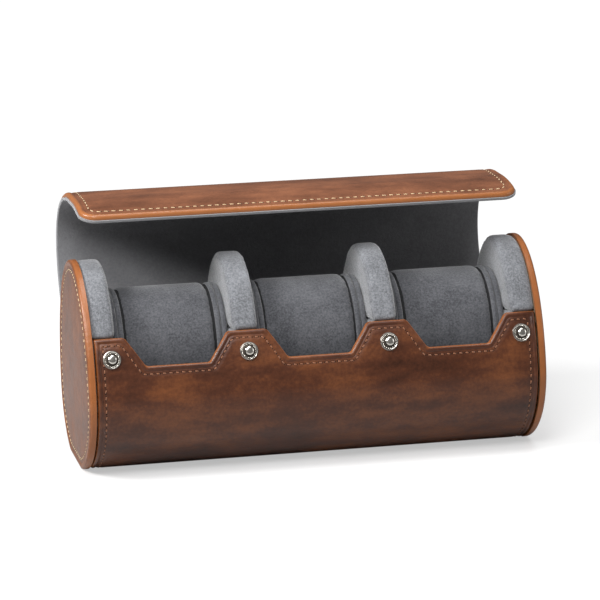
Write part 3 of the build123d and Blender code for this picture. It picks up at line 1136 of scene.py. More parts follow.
@dataclass
class Shell:
    """The front wall, bottom, back and flap: leather outside and suede inside."""

    sheet: SheetLine
    finishes: Finishes
    stitcher: Stitcher
    half_wrap: float = 108.2
    pitch: float = 68.8
    notch_bottom: float = 1.4
    notch_top_width: float = 49.4
    notch_bottom_width: float = 30.6
    flap_corner: float = 8.0
    lining_proud: float = 0.6
    wall_foot: float = -0.7  # heights of the panels' undersides over the sheet's middle
    flap_foot: float = -0.3
    lining_foot: float = -0.65
    wall_stitch_inset: float = 3.9
    wall_stitch_height: float = 1.62
    flap_stitch_inset: float = 5.0
    flap_stitch_height: float = 1.7
    seam_back: float = 2.0  # from the rear end of the flat bottom back to the bottom seam
    seam_clear: float = 4.0  # between the bottom seam and the wall's stitches
    back_clear: float = 5.0  # between the bottom seam and the back's stitches
    lining_inset: float = 0.7
    lining_short: float = 0.3
    hinge_reach: float = 8.0  # to each side of a joint, the reach that _follow works out; no bend is made with it
    flex_reach: float = 9.0
    cut_reach: float = 12.0  # round the place where the cover is parted
    socket_frames: Sequence[Matrix] = ()  # where the snaps' sockets come through the flap's suede
    socket_hole: float = 9.9

    def __post_init__(self) -> None:
        """Works out where the leathers meet and where the sheet parts."""
        self.line = self.sheet.line
        self.bottom_seam = self.sheet.rear_bottom - self.seam_back
        self.part = (self.sheet.hinge_at + self.sheet.flex_at) / 2
        self.depth = self.sheet.drop(self.notch_bottom)

    def notches(self, wider: float = 0.0) -> list[tuple[float, float, float, float]]:
        """The three notches, wider by a margin and as much deeper."""
        flank = math.atan2(self.depth, (self.notch_top_width - self.notch_bottom_width) / 2)
        grow = wider * math.tan(flank / 2)
        return [(m, self.notch_top_width / 2 + grow, self.notch_bottom_width / 2 + grow, self.depth)
                for m in (-self.pitch, 0.0, self.pitch)]

    def build(self) -> None:
        """Makes, dresses and mounts every piece of the sheet."""
        self._wall()
        self._back_and_flap()
        self._lining()

    def _wall(self) -> None:
        """The front wall's leather, which runs under the case to a seam at its back."""
        pattern = Pattern("front_wall", self.half_wrap, 0.0, self.bottom_seam, self.notches())
        wall = Panel(pattern, TURNED_EDGE, self.wall_foot, wear=0.75).make(self.line)
        dress(wall, self.finishes.wall)
        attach(wall, "case")
        report(wall)
        inset, edge = self.wall_stitch_inset, self.half_wrap - self.wall_stitch_inset
        stop = self.bottom_seam - self.seam_clear
        path = [(-edge, stop), (-edge, inset)]
        for middle, top, low, depth in self.notches(inset):
            path += [(middle - top, inset), (middle - low, depth + inset),
                     (middle + low, depth + inset), (middle + top, inset)]
        path += [(edge, inset), (edge, stop)]
        seam = Seam(path, radius=2.0, pitch=3.1, height=self.wall_stitch_height)
        self._sew(seam, "wall_stitches", self.finishes.tan_thread, ("case",))

    def _back_and_flap(self) -> None:
        """The leather that runs up the back, over the hinge and across the flap, in two parts."""
        end = self.line.length
        pattern = Pattern("flap_cover", self.half_wrap, self.bottom_seam, end, end_corner=self.flap_corner)
        whole = Panel(pattern, FLAP_EDGE, self.flap_foot, wear=2.1).make(self.line)
        dress(whole, self.finishes.flap)
        back, front = self._part(whole, "back_cover", "flap_cover_front")
        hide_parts("wrap_leather", "flap_leather", "hinge_strip")
        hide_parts("lip_leather", "flex_strip")
        self._follow(back, "case", "flap")
        self._follow(front, "flap", "lip")
        for piece in (back, front):
            report(piece)
        inset, edge = self.flap_stitch_inset, self.half_wrap - self.flap_stitch_inset
        low = self.bottom_seam + self.back_clear
        rows = [(f"back_stitches_{side.word}", ("case", "flap"), 2.0,
                 [(side.value * edge, low), (side.value * edge, self.part)]) for side in Side]
        rows.append(("flap_stitches", ("flap", "lip"), 5.0,
                     [(-edge, self.part), (-edge, end - inset), (edge, end - inset), (edge, self.part)]))
        for name, bodies, corner, path in rows:
            seam = Seam(path, corner, pitch=3.6, length=2.1, thickness=0.56, height=self.flap_stitch_height)
            self._sew(seam, name, self.finishes.pale_thread, bodies)

    def _lining(self) -> None:
        """The suede inside the wall, the back and the flap."""
        inside, cut = Inside(self.line), self.sheet.rear_bottom
        tuck, proud = self.lining_inset, self.lining_proud
        pattern = Pattern("wall_lining", self.half_wrap - self.lining_short, tuck, cut, self.notches(tuck))
        inner = Panel(pattern, SUEDE_EDGE, self.lining_foot).make(inside)
        pattern = Pattern("flap_lining_cover", self.half_wrap + proud, cut, self.line.length + proud,
                          end_corner=self.flap_corner + proud)
        outer = Panel(pattern, SUEDE_EDGE, self.lining_foot).make(inside)
        for piece in (inner, outer):
            dress(piece, self.finishes.lining)
        back, front = self._part(outer, "back_lining", "flap_lining_front")
        pierced(front, self.socket_frames, self.socket_hole / 2)
        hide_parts("wrap_lining")
        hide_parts("flap_lining")
        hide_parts("lip_lining")
        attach(inner, "case")
        self._follow(back, "case", "flap")
        self._follow(front, "flap", "lip")
        for piece in (inner, back, front):
            report(piece)

    def _part(self, whole: bpy.types.Object, first: str, second: str) -> tuple:
        """Parts a panel half way up the flap.

        Args:
            whole: The wrapped panel.
            first: The name of the part at the back.
            second: The name of the part at the front.

        Returns:
            The two parts, both closed.
        """
        point, normal = self.line.at(self.part)
        centre = Vector((0, point.x, point.y)) * MM
        tangent = Vector((0, -normal.y, normal.x))
        parts = []
        for name, is_back in ((first, True), (second, False)):
            part = fresh(whole, name)
            part.data.name = name
            edit(part)
            # the cut's plane also meets the case on its far side, so only faces near the cut are chosen
            choose(part, lambda p: (p.yz - centre.yz).length < self.cut_reach * MM, "FACE")
            bpy.ops.mesh.bisect(plane_co=centre, plane_no=tangent)
            self._keep(part, is_back)
            parts.append(part)
        bpy.data.objects.remove(whole)
        return tuple(parts)

    def _keep(self, part: bpy.types.Object, is_back: bool) -> None:
        """Deletes the faces on the other side of the cut and closes the part.

        Args:
            part: A copy of the whole panel, cut across and in edit mode.
            is_back: Whether the part is the one at the back.
        """
        def other(p: Vector) -> bool:
            """Whether a point belongs to the other part, measured round the flap."""
            return (self.line.nearest((p.y / MM, p.z / MM)) > self.part) == is_back

        choose(part, other, "FACE")
        bpy.ops.mesh.delete(type="FACE")
        choose_open_edges()
        bpy.ops.mesh.edge_face_add()
        leave()
        smooth(part, CREASE)

    def _follow(self, piece: bpy.types.Object, first: str, second: str) -> None:
        """Works out the reach of the joint between two bodies but does not use it: the piece's transform is only
        baked, and it is neither bent nor mounted on a body.
        """
        at, reach = self.sheet.flex_at, self.flex_reach
        if first == "case":
            at, reach = self.sheet.hinge_at, self.hinge_reach
        ends = [self.line.place(0, at + d, 0) for d in (-reach, reach)]
        tuple(ends[0])
        tuple(ends[1])
        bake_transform(piece)

    def _sew(self, seam: Seam, name: str, thread: bpy.types.Material, bodies: tuple[str, ...]) -> None:
        """Sews a seam and mounts its stitches and holes on one body; a seam across two bodies is left unmounted."""
        pieces = self.stitcher.sew(seam, self.line.place, name)
        for piece, material in zip(pieces, (thread, self.finishes.hole)):
            dress(piece, material)
            if len(bodies) == 1:
                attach(piece, bodies[0])
            else:
                self._follow(piece, *bodies)


@dataclass(frozen=True)
class Inside:
    """A sheet's line for a panel that faces inwards: heights are taken towards the inside."""

    line: Line
    rise: float = 1.0  # from the sheet's middle to the panel's own height zero

    def place(self, x: float, s: float, h: float) -> Vector:
        """A point of the flat pattern wrapped into the frame, in metres."""
        return self.line.place(-x, s, -h - self.rise)


# ------------------------------------------------------------------ closed ends
@dataclass
class ClosedEnds:
    """The two leather ends: a rolled rim, a crease, a ring of stitches and a slightly crowned face."""

    oval: Oval
    finishes: Finishes
    stitcher: Stitcher
    start: float = 109.0
    rim: Profile = ((0.0, 2.0), (0.1, 2.5), (0.38, 2.98), (0.85, 3.28), (1.4, 3.38), (2.0, 3.3), (2.5, 3.05),
                    (2.85, 2.9), (3.3, 2.96), (4.0, 3.08), (4.9, 3.0), (5.6, 3.12), (7.0, 3.3))
    crown: Profile = ((0.86, 0.2), (0.7, 0.2), (0.5, 0.12), (0.3, 0.05))  # share of the last ring, and rise
    crown_middle: float = 8.0  # height of the crown's middle over the widest line
    stitch_inset: float = 4.8
    stitch_pitch: float = 3.0
    stitch_height: float = 3.02
    facets: int = 150
    worn_height: float = 2.6  # below this height the rim is rubbed hardest
    worn_reach: float = 3.0  # in from the outline, how far the rim is rubbed
    worn_clear: float = 30.0  # nearer the middle than this, low leather is not rim

    def outline(self, inset: float, count: int) -> list[Point]:
        """The closed oval inset by a distance, as evenly spaced points from the middle of its flat."""
        oval = self.oval
        rough = []
        for k in range(1200):
            t = 2 * math.pi * k / 1200 - math.pi / 2
            b = oval.crown if math.sin(t) > 0 else oval.belly
            y, z = oval.leant((oval.half_depth - inset) * math.cos(t), oval.widest + (b - inset) * math.sin(t))
            rough.append((y - oval.middle, max(z, oval.floor + inset) - oval.floor))
        line = Line(rough + rough[:1])
        return [tuple(line.at(line.length * k / count)[0]) for k in range(count)]

    def build(self) -> None:
        """Makes, dresses and mounts both ends."""
        for side in Side:
            cover = self._cover(side)
            dress(cover, self.finishes.end)
            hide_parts(f"end_cap_leather_{side.word}")
            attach(cover, "case")
            self._sew(side)
            report(cover)

    def _place(self, side: Side) -> Callable[[float, float, float], Vector]:
        """Where a flat point of an end lies in the frame."""
        return lambda y, z, h: Vector((side.value * (self.start + h), y, z)) * MM

    def _cover(self, side: Side) -> bpy.types.Object:
        """One end's leather."""
        piece = flat_face(f"end_cover_{side.word}", self.outline(0.0, self.facets))
        face_outwards(piece)
        raised(piece, self.rim[0][1])
        stepped(self.rim)
        y, z = self.oval.stood(0, self.oval.widest + self.crown_middle)
        size = 1.0
        for share, rise in self.crown:
            bpy.ops.mesh.inset(thickness=0.01)
            bpy.ops.transform.resize(value=(share / size, share / size, 1), center_override=(y, z, 0))
            bpy.ops.transform.translate(value=(0, 0, rise))
            size = share
        bpy.ops.mesh.poke(offset=0.0)
        leave()
        note(piece, "edge_wear_and_highlight", self._worn(piece))
        placed(piece, self._place(side))
        face_outwards(piece)
        smooth(piece, CREASE)
        return piece

    def _worn(self, piece: bpy.types.Object) -> list[float]:
        """How rubbed the flat cover is at each vertex: most on the rim, and hardly on the face."""
        middle, ring = self.oval.stood(0, self.oval.widest), self.outline(0.0, 200)
        values = []
        for vertex in piece.data.vertices:
            spot = vertex.co.xy
            if vertex.co.z < self.worn_height and math.dist(spot, middle) > self.worn_clear:
                values.append(0.95)
            else:
                values.append(0.5 if min(math.dist(spot, p) for p in ring) < self.worn_reach else 0.1)
        return values

    def _sew(self, side: Side) -> None:
        """The ring of stitches inside a rim."""
        ring = self.outline(self.stitch_inset, 160)
        seam = Seam(ring + ring[:1], radius=0.5, pitch=self.stitch_pitch, thickness=0.52, slant=6.0,
                    height=self.stitch_height)
        names = self.stitcher.sew(seam, self._place(side), f"end_stitches_{side.word}")
        for piece, material in zip(names, (self.finishes.pale_thread, self.finishes.hole)):
            dress(piece, material)
            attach(piece, "case")


# ------------------------------------------------------------------ padding
@dataclass
class Upholsterer:
    """Stuffs a plain solid: it is drawn in a little, filled out by a cloth simulation and held back."""

    voxel: float = 1.7  # millimetres
    drawn_in: float = 0.35
    swell: float = 0.45  # the most that it fills out again, measured from where it is drawn in to
    plain_fill: float = 0.8
    softening: int = 1
    pressure: float = 3.5
    frames: int = 14
    size_up: float = 10.0  # the simulation is steadier on a larger piece

    def cover(self, node: bpy.types.Object, name: str) -> bpy.types.Object:
        """A padded copy of a solid.

        Args:
            node: The CAD node.
            name: The new piece's name.

        Returns:
            The padded piece, in the node's place.
        """
        piece = fresh(node, name)
        piece.parent = None
        for key in list(piece.keys()):
            del piece[key]
        piece.hide_render = piece.hide_viewport = False
        return self.fill(piece)

    def fill(self, piece: bpy.types.Object) -> bpy.types.Object:
        """Remeshes, draws in, inflates and smooths a solid.

        Args:
            piece: The solid.

        Returns:
            The same object.
        """
        edit(piece)
        bpy.ops.mesh.remove_doubles(threshold=1e-6)
        leave()
        remesh = piece.modifiers.new("even", "REMESH")
        remesh.mode = "VOXEL"
        remesh.voxel_size = self.voxel * MM
        finish_modifier(piece, "even")
        edit(piece)
        bpy.ops.transform.shrink_fatten(value=-self.drawn_in * MM)
        bpy.ops.mesh.vertices_smooth(factor=0.5, repeat=self.softening)
        leave()
        start = [(v.co.copy(), v.normal.copy()) for v in piece.data.vertices]
        self._inflate(piece)
        for vertex, (was, out) in zip(piece.data.vertices, start):
            rise = (vertex.co - was).dot(out)
            vertex.co = was + out * min(max(rise, self.drawn_in * MM), self.swell * MM)
        edit(piece)
        bpy.ops.mesh.vertices_smooth(factor=0.5, repeat=self.softening)
        leave()
        rounder = piece.modifiers.new("round", "SUBSURF")
        rounder.levels = rounder.render_levels = 1
        finish_modifier(piece, "round")
        smooth(piece, 180)
        return piece

    def _inflate(self, piece: bpy.types.Object) -> None:
        """Fills the piece out with a pressure inside its cloth."""
        scene = bpy.context.scene
        piece.data.transform(Matrix.Scale(self.size_up, 4))
        cloth = piece.modifiers.new("stuffing", "CLOTH")
        settings = cloth.settings
        settings.quality = 5
        settings.use_pressure = True
        settings.uniform_pressure_force = self.pressure
        settings.tension_stiffness = settings.compression_stiffness = 25
        settings.effector_weights.gravity = 0
        cloth.collision_settings.use_collision = False
        cloth.point_cache.frame_start, cloth.point_cache.frame_end = 1, self.frames
        for frame in range(1, self.frames + 1):
            scene.frame_set(frame)
        finish_modifier(piece, "stuffing")
        scene.frame_set(1)
        piece.data.transform(Matrix.Scale(1 / self.size_up, 4))


@dataclass
class Padding:
    """The padded ends, dividers and floor pads."""

    oval: Oval
    nodes: dict
    finishes: Finishes
    upholsterer: Upholsterer = field(default_factory=Upholsterer)
    crown: tuple[float, float, float] = (-1.4, 39.1, 63.0)  # V of its middle, half depth and height
    foot_inset: float = 4.0
    top: float = 15.1  # height in the section frame at which the crown stands on the foot
    overlap: float = 0.4  # of the crown and the foot
    edge: float = 1.3
    seam: float = 1.7  # in from the edge
    seam_depth: float = 0.4
    seam_half_width: float = 0.55
    seam_skin: float = 1.2  # a point this near a face along the case lies on it
    seam_clear: float = 1.0  # between the crown's underside and the seam's ends
    facets: int = 120

    def build(self) -> None:
        """Makes, dresses and mounts every pad of the case."""
        for side in Side:
            self._disc(f"end_pad_{side.word}", f"end_disc_{side.word}", (-side.value,))
            self._disc(f"divider_pad_{side.word}", f"divider_{side.word}", (-1, 1))
        stuffer = Upholsterer(voxel=2.4, drawn_in=0.7, swell=0.9, softening=2)
        for place in ("left", "middle", "right"):
            pad = stuffer.cover(self.nodes[f"floor_pad_{place}"], f"seat_pad_{place}")
            self._mount(pad, f"floor_pad_{place}", self.finishes.lining, 0.6)

    def _mount(self, piece: bpy.types.Object, node: str, material: bpy.types.Material, fill: float) -> None:
        """Dresses a pad and puts it in the place of its plain solid."""
        dress(piece, material)
        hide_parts(node)
        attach(piece, "case")
        report(piece)

    def _disc(self, node: str, name: str, sewn: tuple[int, ...]) -> None:
        """A padded disc: a crown with seams round its free faces, on a plain foot."""
        low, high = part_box(node)
        start, end = low[0] / MM, high[0] / MM
        crown = self._slab(name, self._crown_ring(), start, end)
        self.upholsterer.fill(crown)
        self._sew(crown, start, end, sewn)
        foot = self._slab(f"{name}_foot", self._foot_ring(), start, end)
        self._mount(join([crown, foot], name), node, self.finishes.pad, 0.75)

    def _crown_ring(self) -> list[Point]:
        """The crown's outline in the section frame, from its front corner over the top to its rear one."""
        middle, a, b = self.crown
        rise = math.asin((self.top - self.overlap - self.oval.widest) / b)
        angles = [rise + (math.pi - 2 * rise) * k / self.facets for k in range(self.facets + 1)]
        return [(middle + a * math.cos(t), self.oval.widest + b * math.sin(t)) for t in angles]

    def _foot_ring(self) -> list[Point]:
        """The foot's outline in the section frame, with its flat underside."""
        oval, inset = self.oval, self.foot_inset
        ring = []
        for k in range(self.facets):
            t = 2 * math.pi * k / self.facets
            b = (oval.crown if math.sin(t) > 0 else oval.belly) - inset
            v, w = (oval.half_depth - inset) * math.cos(t), min(oval.widest + b * math.sin(t), self.top)
            short = oval.floor + inset + 0.1 - oval.leant(v, w)[1]
            ring.append((v, w + max(short, 0) / math.cos(oval.lean)))
        return ring

    def _slab(self, name: str, ring: list[Point], start: float, end: float) -> bpy.types.Object:
        """A slab with a section outline between two places along the case, in metres."""
        piece = flat_face(name, ring)
        raised(piece, end - start)
        bpy.ops.mesh.select_all(action="SELECT")
        bpy.ops.mesh.normals_make_consistent(inside=False)
        middle = (end - start) / 2
        choose(piece, lambda p: abs(abs(p.z - middle) - middle) < NEAR, "EDGE")
        bpy.ops.mesh.bevel(offset_type="OFFSET", offset=self.edge, segments=3, affect="EDGES")
        leave()
        placed(piece, lambda v, w, x: Vector((start + x, *self.oval.stood(v, w))) * MM)
        face_outwards(piece)
        smooth(piece, 60)
        return piece

    def _sew(self, piece: bpy.types.Object, start: float, end: float, sewn: tuple[int, ...]) -> None:
        """Presses a seam into the free faces, just inside their edge."""
        middle, a, b = self.crown
        faces = [start if way < 0 else end for way in sewn]

        def pressed(p: Vector) -> bool:
            """Whether a point lies on the seam of a free face."""
            if not any(abs(p.x / MM - x) < self.seam_skin for x in faces):
                return False
            y, z = p.y / MM + self.oval.middle, p.z / MM + self.oval.floor
            c, s = math.cos(self.oval.lean), math.sin(self.oval.lean)
            v, w = y * c - z * s, y * s + z * c
            t = math.atan2((w - self.oval.widest) / b, (v - middle) / a)
            reach = math.hypot((v - middle) / a, (w - self.oval.widest) / b)
            inside = (1 - reach) * math.hypot(a * math.cos(t), b * math.sin(t))
            return abs(inside - self.seam) < self.seam_half_width and w > self.top + self.seam_clear

        edit(piece)
        LOG.info("%s: %d on the seam", piece.name, choose(piece, pressed))
        bpy.ops.transform.shrink_fatten(value=-self.seam_depth * MM)
        leave()


@dataclass
class Cushions:
    """The three lift-out cushions: a stuffed oval body between two rolled rings at either end."""

    oval: Oval
    finishes: Finishes
    depth: float = 52.0
    height: float = 66.0
    middle: float = 3.0
    length: float = 56.0
    rings: tuple[float, float] = (2.6, 2.9)  # widths of the inner and the outer ring
    groove: float = 0.1
    facets: int = 88
    sewn_face: Profile = ((0.0, 0.0), (0.4, 0.0), (0.8, -0.3), (1.3, 0.0), (3.0, 0.08), (9.0, 0.12))

    def build(self) -> None:
        """Makes, dresses and mounts the cushions."""
        stuffer = Upholsterer(voxel=2.0, drawn_in=0.8, swell=1.05, pressure=6.0, softening=2)
        inner, outer = self.rings
        between = self.length - 2 * (inner + outer + 2 * self.groove)
        for place in ("left", "middle", "right"):
            low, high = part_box(f"cushion_core_{place}")
            x = (low[0] + high[0]) / 2 / MM
            body = self._drum(f"cushion_body_{place}", x, between, edge=1.4, size=1.0)
            stuffer.fill(body)
            self._mount(body, place, 0.8)
            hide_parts(f"cushion_sleeve_{place}")
            for side in Side:
                at = x + side.value * (self.length - outer) / 2
                end = self._drum(f"cushion_end_roll_{side.word}_{place}", at, outer, edge=1.1, size=0.985, sewn=True)
                at = x + side.value * (self.length / 2 - outer - self.groove - inner / 2)
                roll = self._drum(f"cushion_roll_{side.word}_{place}", at, inner, edge=1.1, size=0.99)
                self._mount(end, place, 0.9)
                self._mount(roll, place, 0.9)
                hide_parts(f"cushion_end_{side.word}_{place}")

    def _mount(self, piece: bpy.types.Object, place: str, fill: float) -> None:
        """Dresses a padded piece and lets it move with its cushion."""
        dress(piece, self.finishes.cushion)
        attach(piece, f"cushion_{place}")
        report(piece)

    def _drum(self, name: str, x: float, length: float, edge: float, size: float,
              sewn: bool = False) -> bpy.types.Object:
        """An oval drum along X, standing in its place.

        Args:
            name: The object's name.
            x: Its middle along the case.
            length: Its length.
            edge: The softening of its rims.
            size: Its share of the cushion's full oval.
            sewn: Whether rings of stitching draw its faces in.

        Returns:
            A closed mesh in metres.
        """
        deselect_all()
        bpy.ops.mesh.primitive_cylinder_add(vertices=self.facets, radius=1, depth=length, end_fill_type="NGON")
        piece = bpy.context.active_object
        piece.name = piece.data.name = name
        edit(piece)
        a, b = self.depth / 2 * size, self.height / 2 * size
        bpy.ops.transform.resize(value=(a, b, 1))
        choose(piece, lambda p: abs(abs(p.z) - length / 2) < NEAR and math.hypot(p.x, p.y) > 5, "EDGE")
        bpy.ops.mesh.bevel(offset_type="OFFSET", offset=edge, segments=5, affect="EDGES")
        for face in (-1, 1) if sewn else ():
            choose(piece, lambda p: abs(p.z - face * length / 2) < NEAR, "FACE")
            stepped(self.sewn_face)
            bpy.ops.mesh.poke(offset=0.0)
        leave()
        placed(piece, lambda v, w, along: Vector((x + along, *self.oval.stood(v, self.middle + w))) * MM)
        face_outwards(piece)
        smooth(piece, 55)
        return piece


# ------------------------------------------------------------------ snaps
@dataclass
class Snaps:
    """The four snaps: a ball stud in a beaded ring on the wall, and a sprung socket under the flap."""

    sheet: SheetLine
    finishes: Finishes
    places: tuple[float, ...] = (-100.5, -34.4, 34.4, 100.5)
    height: float = 5.5
    seat: float = -0.15
    socket_mouth: float = 1.2
    bead_ring: float = 3.3
    bead_height: float = 0.58
    bead_radius: float = 0.3
    beads: int = 30
    stud: Profile = ((0.0, 0.0), (4.35, 0.0), (4.5, 0.25), (4.48, 0.62), (4.25, 0.92), (3.95, 0.98), (3.72, 0.86),
                     (3.6, 0.62), (3.45, 0.5), (2.75, 0.48), (2.5, 0.62), (2.25, 0.62), (2.05, 0.42), (1.75, 0.36),
                     (1.52, 0.5), (1.46, 1.1), (1.62, 1.25), (1.95, 1.45), (2.1, 1.8), (2.02, 2.15), (1.72, 2.42),
                     (1.2, 2.56), (0.5, 2.61), (0.0, 2.62))
    socket: Profile = ((0.0, 1.9), (4.8, 1.9), (4.8, 0.35), (4.6, 0.08), (4.2, 0.0), (3.8, 0.08), (3.6, 0.3),
                       (3.1, 0.3), (2.95, 0.05), (2.6, 0.0), (2.36, 0.12), (2.35, 0.5), (2.85, 0.52), (2.85, 1.1),
                       (2.35, 1.12), (2.35, 1.5), (0.0, 1.5))

    def build(self) -> None:
        """Makes, dresses and mounts the studs and sockets."""
        studs, sockets = [], []
        for x, opened in zip(self.places, self.socket_frames()):
            studs.append(self._set(self._stud(), self._wall_frame(x)))
            sockets.append(self._set(self._socket(), opened))
        for pieces, name, body, node in ((studs, "snap_stud_rings", "case", "snap_studs"),
                                         (sockets, "snap_socket_rings", "lip", "snap_sockets")):
            piece = join(pieces, name)
            dress(piece, self.finishes.metal)
            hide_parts(node)
            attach(piece, body)
            report(piece)

    def socket_frames(self) -> list[Matrix]:
        """Where each socket's mouth lies, with the flap open."""
        return [self._lip_frame(x) for x in self.places]

    def _shade(self, piece: bpy.types.Object, dark: Callable[[Vector], float]) -> bpy.types.Object:
        """Notes where a turned piece is hollow, for its tarnish."""
        note(piece, "hollow", [dark(v.co) for v in piece.data.vertices])
        return piece

    def _stud(self) -> bpy.types.Object:
        """A ball stud with its beaded ring, in millimetres."""
        def dark(p: Vector) -> float:
            """Dark in the dish round the ball, and a little under the ball's overhang."""
            if p.z < 0.7 and p.xy.length < 3.9:
                return 0.9
            return 0.35 if 0.7 < p.z < 1.6 and p.xy.length < 2 else 0.0

        base = self._shade(turned("stud", self.stud), dark)
        deselect_all()
        bpy.ops.mesh.primitive_ico_sphere_add(subdivisions=2, radius=self.bead_radius,
                                              location=(self.bead_ring, 0, self.bead_height))
        first = bpy.context.active_object
        bpy.ops.object.transform_apply(location=True, rotation=True, scale=True)
        smooth(self._shade(first, lambda p: 0.0), 180)
        pieces = [base, first]
        for k in range(1, self.beads):
            bead = fresh(first, "bead")
            bead.data.transform(Matrix.Rotation(2 * math.pi * k / self.beads, 4, "Z"))
            pieces.append(bead)
        return join(pieces, "stud")

    def _socket(self) -> bpy.types.Object:
        """A socket, in millimetres, with its mouth at height zero."""
        return self._shade(turned("socket", self.socket), lambda p: 0.8 if p.xy.length < 3.4 and p.z > 0.2 else 0.0)

    @staticmethod
    def _set(piece: bpy.types.Object, frame: Matrix) -> bpy.types.Object:
        """Moves a piece's mesh from millimetres into the frame."""
        piece.data.transform(frame)
        return piece

    def _wall_frame(self, x: float) -> Matrix:
        """The stud's seat on the front wall."""
        oval = self.sheet.oval
        rise = self.height - oval.widest
        v = -oval.half_depth * math.sqrt(1 - (rise / oval.crown) ** 2)
        slope = Vector((v / oval.half_depth ** 2, rise / oval.crown ** 2)).normalized()
        return self._frame(x, (v, self.height), (slope.x, slope.y), self.seat)

    def _frame(self, x: float, spot: Point, out: Point, lift: float) -> Matrix:
        """A frame in metres at a section point, with Z outwards and X along the case."""
        oval = self.sheet.oval
        y, z = oval.stood(spot[0] + out[0] * lift, spot[1] + out[1] * lift)
        oy, oz = oval.leant(*out)
        across = Vector((0, oy, oz)).cross(Vector((1, 0, 0)))
        turn = Matrix(((1, 0, 0), tuple(across), (0, oy, oz))).transposed().to_4x4()
        return Matrix.Translation(Vector((x, y, z)) * MM) @ turn @ Matrix.Scale(MM, 4)

    def _lip_frame(self, x: float) -> Matrix:
        """The socket's seat under the flap's edge, opened with it."""
        sheet, oval = self.sheet, self.sheet.oval
        closed = self._wall_frame(x)
        half = sheet.sheet / 2
        hinge = Vector((0, *sheet.hinge)) * MM
        flap_b = oval.crown + sheet.flap_rise + half
        flap_a = (2 * oval.half_depth - sheet.sheet + sheet.flap_gap) / 2 + half
        flap_middle = flap_a - half - oval.half_depth - sheet.flap_gap
        rise = sheet.tab_top - sheet.flap_drop + sheet.lip_length - oval.widest
        flex_v = flap_middle - flap_a * math.sqrt(1 - (rise / flap_b) ** 2)
        flex = Vector((0, *oval.stood(flex_v, rise + oval.widest))) * MM

        def swing(pivot: Vector, angle: float) -> Matrix:
            """A turn about a line along X."""
            return Matrix.Translation(pivot) @ Matrix.Rotation(-angle, 4, "X") @ Matrix.Translation(-pivot)

        lifted = closed @ Matrix.Translation((0, 0, self.socket_mouth - self.seat))
        return swing(hinge, sheet.opened) @ swing(flex, sheet.sprung) @ lifted


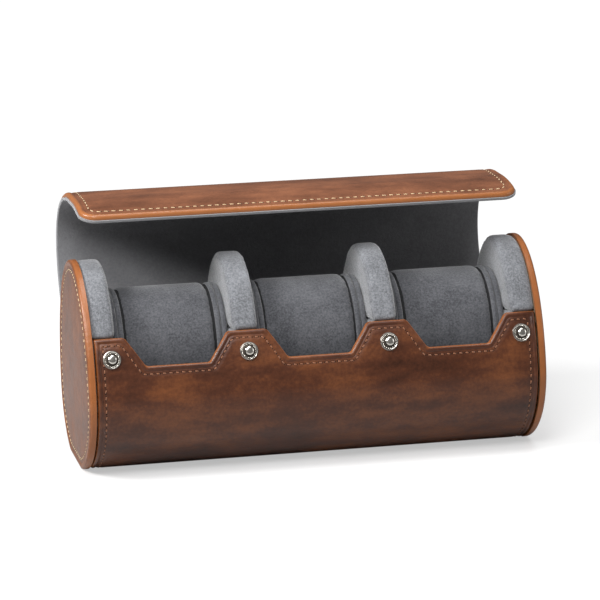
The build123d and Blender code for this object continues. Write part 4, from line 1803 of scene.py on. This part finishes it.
# ------------------------------------------------------------------ studio
@dataclass
class Studio:
    """Floor, surround, lamps and the camera at the photograph's angle."""

    oval: Oval
    azimuth: float = -0.235917  # radians
    elevation: float = 0.285382
    distance: float = 1.6448  # metres
    lens: float = 201.98
    shift: Point = (-0.0008, 0.082)
    fade: tuple[float, float] = (0.13, 0.45)  # metres from the case between which the floor turns white
    surround: float = 0.16  # strength of the light from all round

    def camera(self) -> None:
        """Creates the camera and makes it the scene's."""
        data = bpy.data.cameras.new("camera")
        data.lens = self.lens
        data.shift_x, data.shift_y = self.shift
        data.clip_end = 20
        camera = linked("camera", data)
        y, z = self.oval.stood(0, 0)
        az, el = self.azimuth, self.elevation
        way = Vector((math.sin(az) * math.cos(el), -math.cos(az) * math.cos(el), math.sin(el)))
        camera.location = Vector((0, y, z)) * MM + way * self.distance
        camera.rotation_euler = (math.pi / 2 - el, 0, az)
        bpy.context.scene.camera = camera

    def floor(self) -> None:
        """A wide pale floor that the case stands on."""
        deselect_all()
        bpy.ops.mesh.primitive_plane_add(size=8, location=(0, 0, 0))
        floor = bpy.context.active_object
        floor.name = "floor"
        floor.data.materials.append(self._pale())

    def _pale(self) -> bpy.types.Material:
        """A pale gloss that fades into the white surround away from the case."""
        paint = Paint("pale_floor", {"Roughness": 0.14, "Specular IOR Level": 0.5, "Emission Strength": 1.0})
        away = paint.add("ShaderNodeVectorMath", {"operation": "LENGTH"}, {0: paint.coordinates})["Value"]
        seen = paint.add("ShaderNodeLightPath", {}, {})["Is Camera Ray"]
        share = away.between(*self.fade)
        glow = paint.mixed(share, (0.46, 0.46, 0.46), (1.0, 1.0, 1.0))
        return paint.finish(Base_Color=paint.mixed(share * seen, (0.5, 0.5, 0.5), (0.0, 0.0, 0.0)),
                            Emission_Color=paint.mixed(seen, (0.0, 0.0, 0.0), glow))

    def light(self) -> None:
        """Soft boxes above, in front and to the left, a weak one on the right, and a pale surround."""
        for name, place, size, power in (("key", (-0.5, -0.95, 1.25), 0.6, 19.0),
                                         ("left", (-1.05, -0.2, 0.85), 0.35, 20.0),
                                         ("top", (0.1, -0.1, 1.6), 0.8, 15.0),
                                         ("right", (1.2, -0.5, 0.5), 0.6, 3.0)):
            self._box(name, place, size, power)
        world = bpy.data.worlds.new("surround")
        bpy.context.scene.world = world
        world.use_nodes = True
        nodes, links = world.node_tree.nodes, world.node_tree.links
        ground, seen = nodes["Background"], nodes.new("ShaderNodeBackground")
        for shader, strength in ((ground, self.surround), (seen, 1.0)):
            shader.inputs["Color"].default_value = (1, 1, 1, 1)
            shader.inputs["Strength"].default_value = strength
        path, mix = nodes.new("ShaderNodeLightPath"), nodes.new("ShaderNodeMixShader")
        links.new(path.outputs["Is Camera Ray"], mix.inputs[0])
        links.new(ground.outputs[0], mix.inputs[1])
        links.new(seen.outputs[0], mix.inputs[2])
        links.new(mix.outputs[0], nodes["World Output"].inputs[0])
        bpy.context.scene.view_settings.view_transform = "Standard"

    @staticmethod
    def _box(name: str, place: tuple[float, float, float], size: float, power: float) -> None:
        """A square soft box that looks at the case."""
        data = bpy.data.lights.new(name, "AREA")
        data.size, data.energy = size, power
        lamp = linked(name, data)
        lamp.location = place
        lamp.rotation_euler = (Vector((0, 0, 0.05)) - Vector(place)).to_track_quat("-Z", "Y").to_euler()


def carry_over(nodes: dict, finishes: Finishes) -> None:
    """Gives each CAD node that stays its finish."""
    stays = (("divider_core", finishes.board), ("hinge_strip", finishes.tape), ("flex_strip", finishes.tape),
             ("snap_springs", finishes.wire), ("snap", finishes.metal), ("cushion_core", finishes.foam))
    for name, node in nodes.items():
        material = next((look for start, look in stays if name.startswith(start)), finishes.lining)
        dress(node, finishes.board if "board" in name else material)


def main() -> None:
    """Loads the frame and builds the case piece by piece."""
    logging.basicConfig(level=logging.INFO, format="%(name)s %(message)s")
    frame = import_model()
    nodes = frame["nodes"]
    oval, sheet = Oval(), SheetLine()
    studio = Studio(oval)
    studio.camera()
    finishes = Finishes()
    stitcher = Stitcher()
    carry_over(nodes, finishes)
    snaps = Snaps(sheet, finishes)
    Shell(sheet, finishes, stitcher, socket_frames=snaps.socket_frames()).build()
    ClosedEnds(oval, finishes, stitcher).build()
    stitcher.put_away()
    Padding(oval, nodes, finishes).build()
    Cushions(oval, finishes).build()
    snaps.build()
    studio.floor()
    studio.light()


if __name__ == "__main__":
    main()
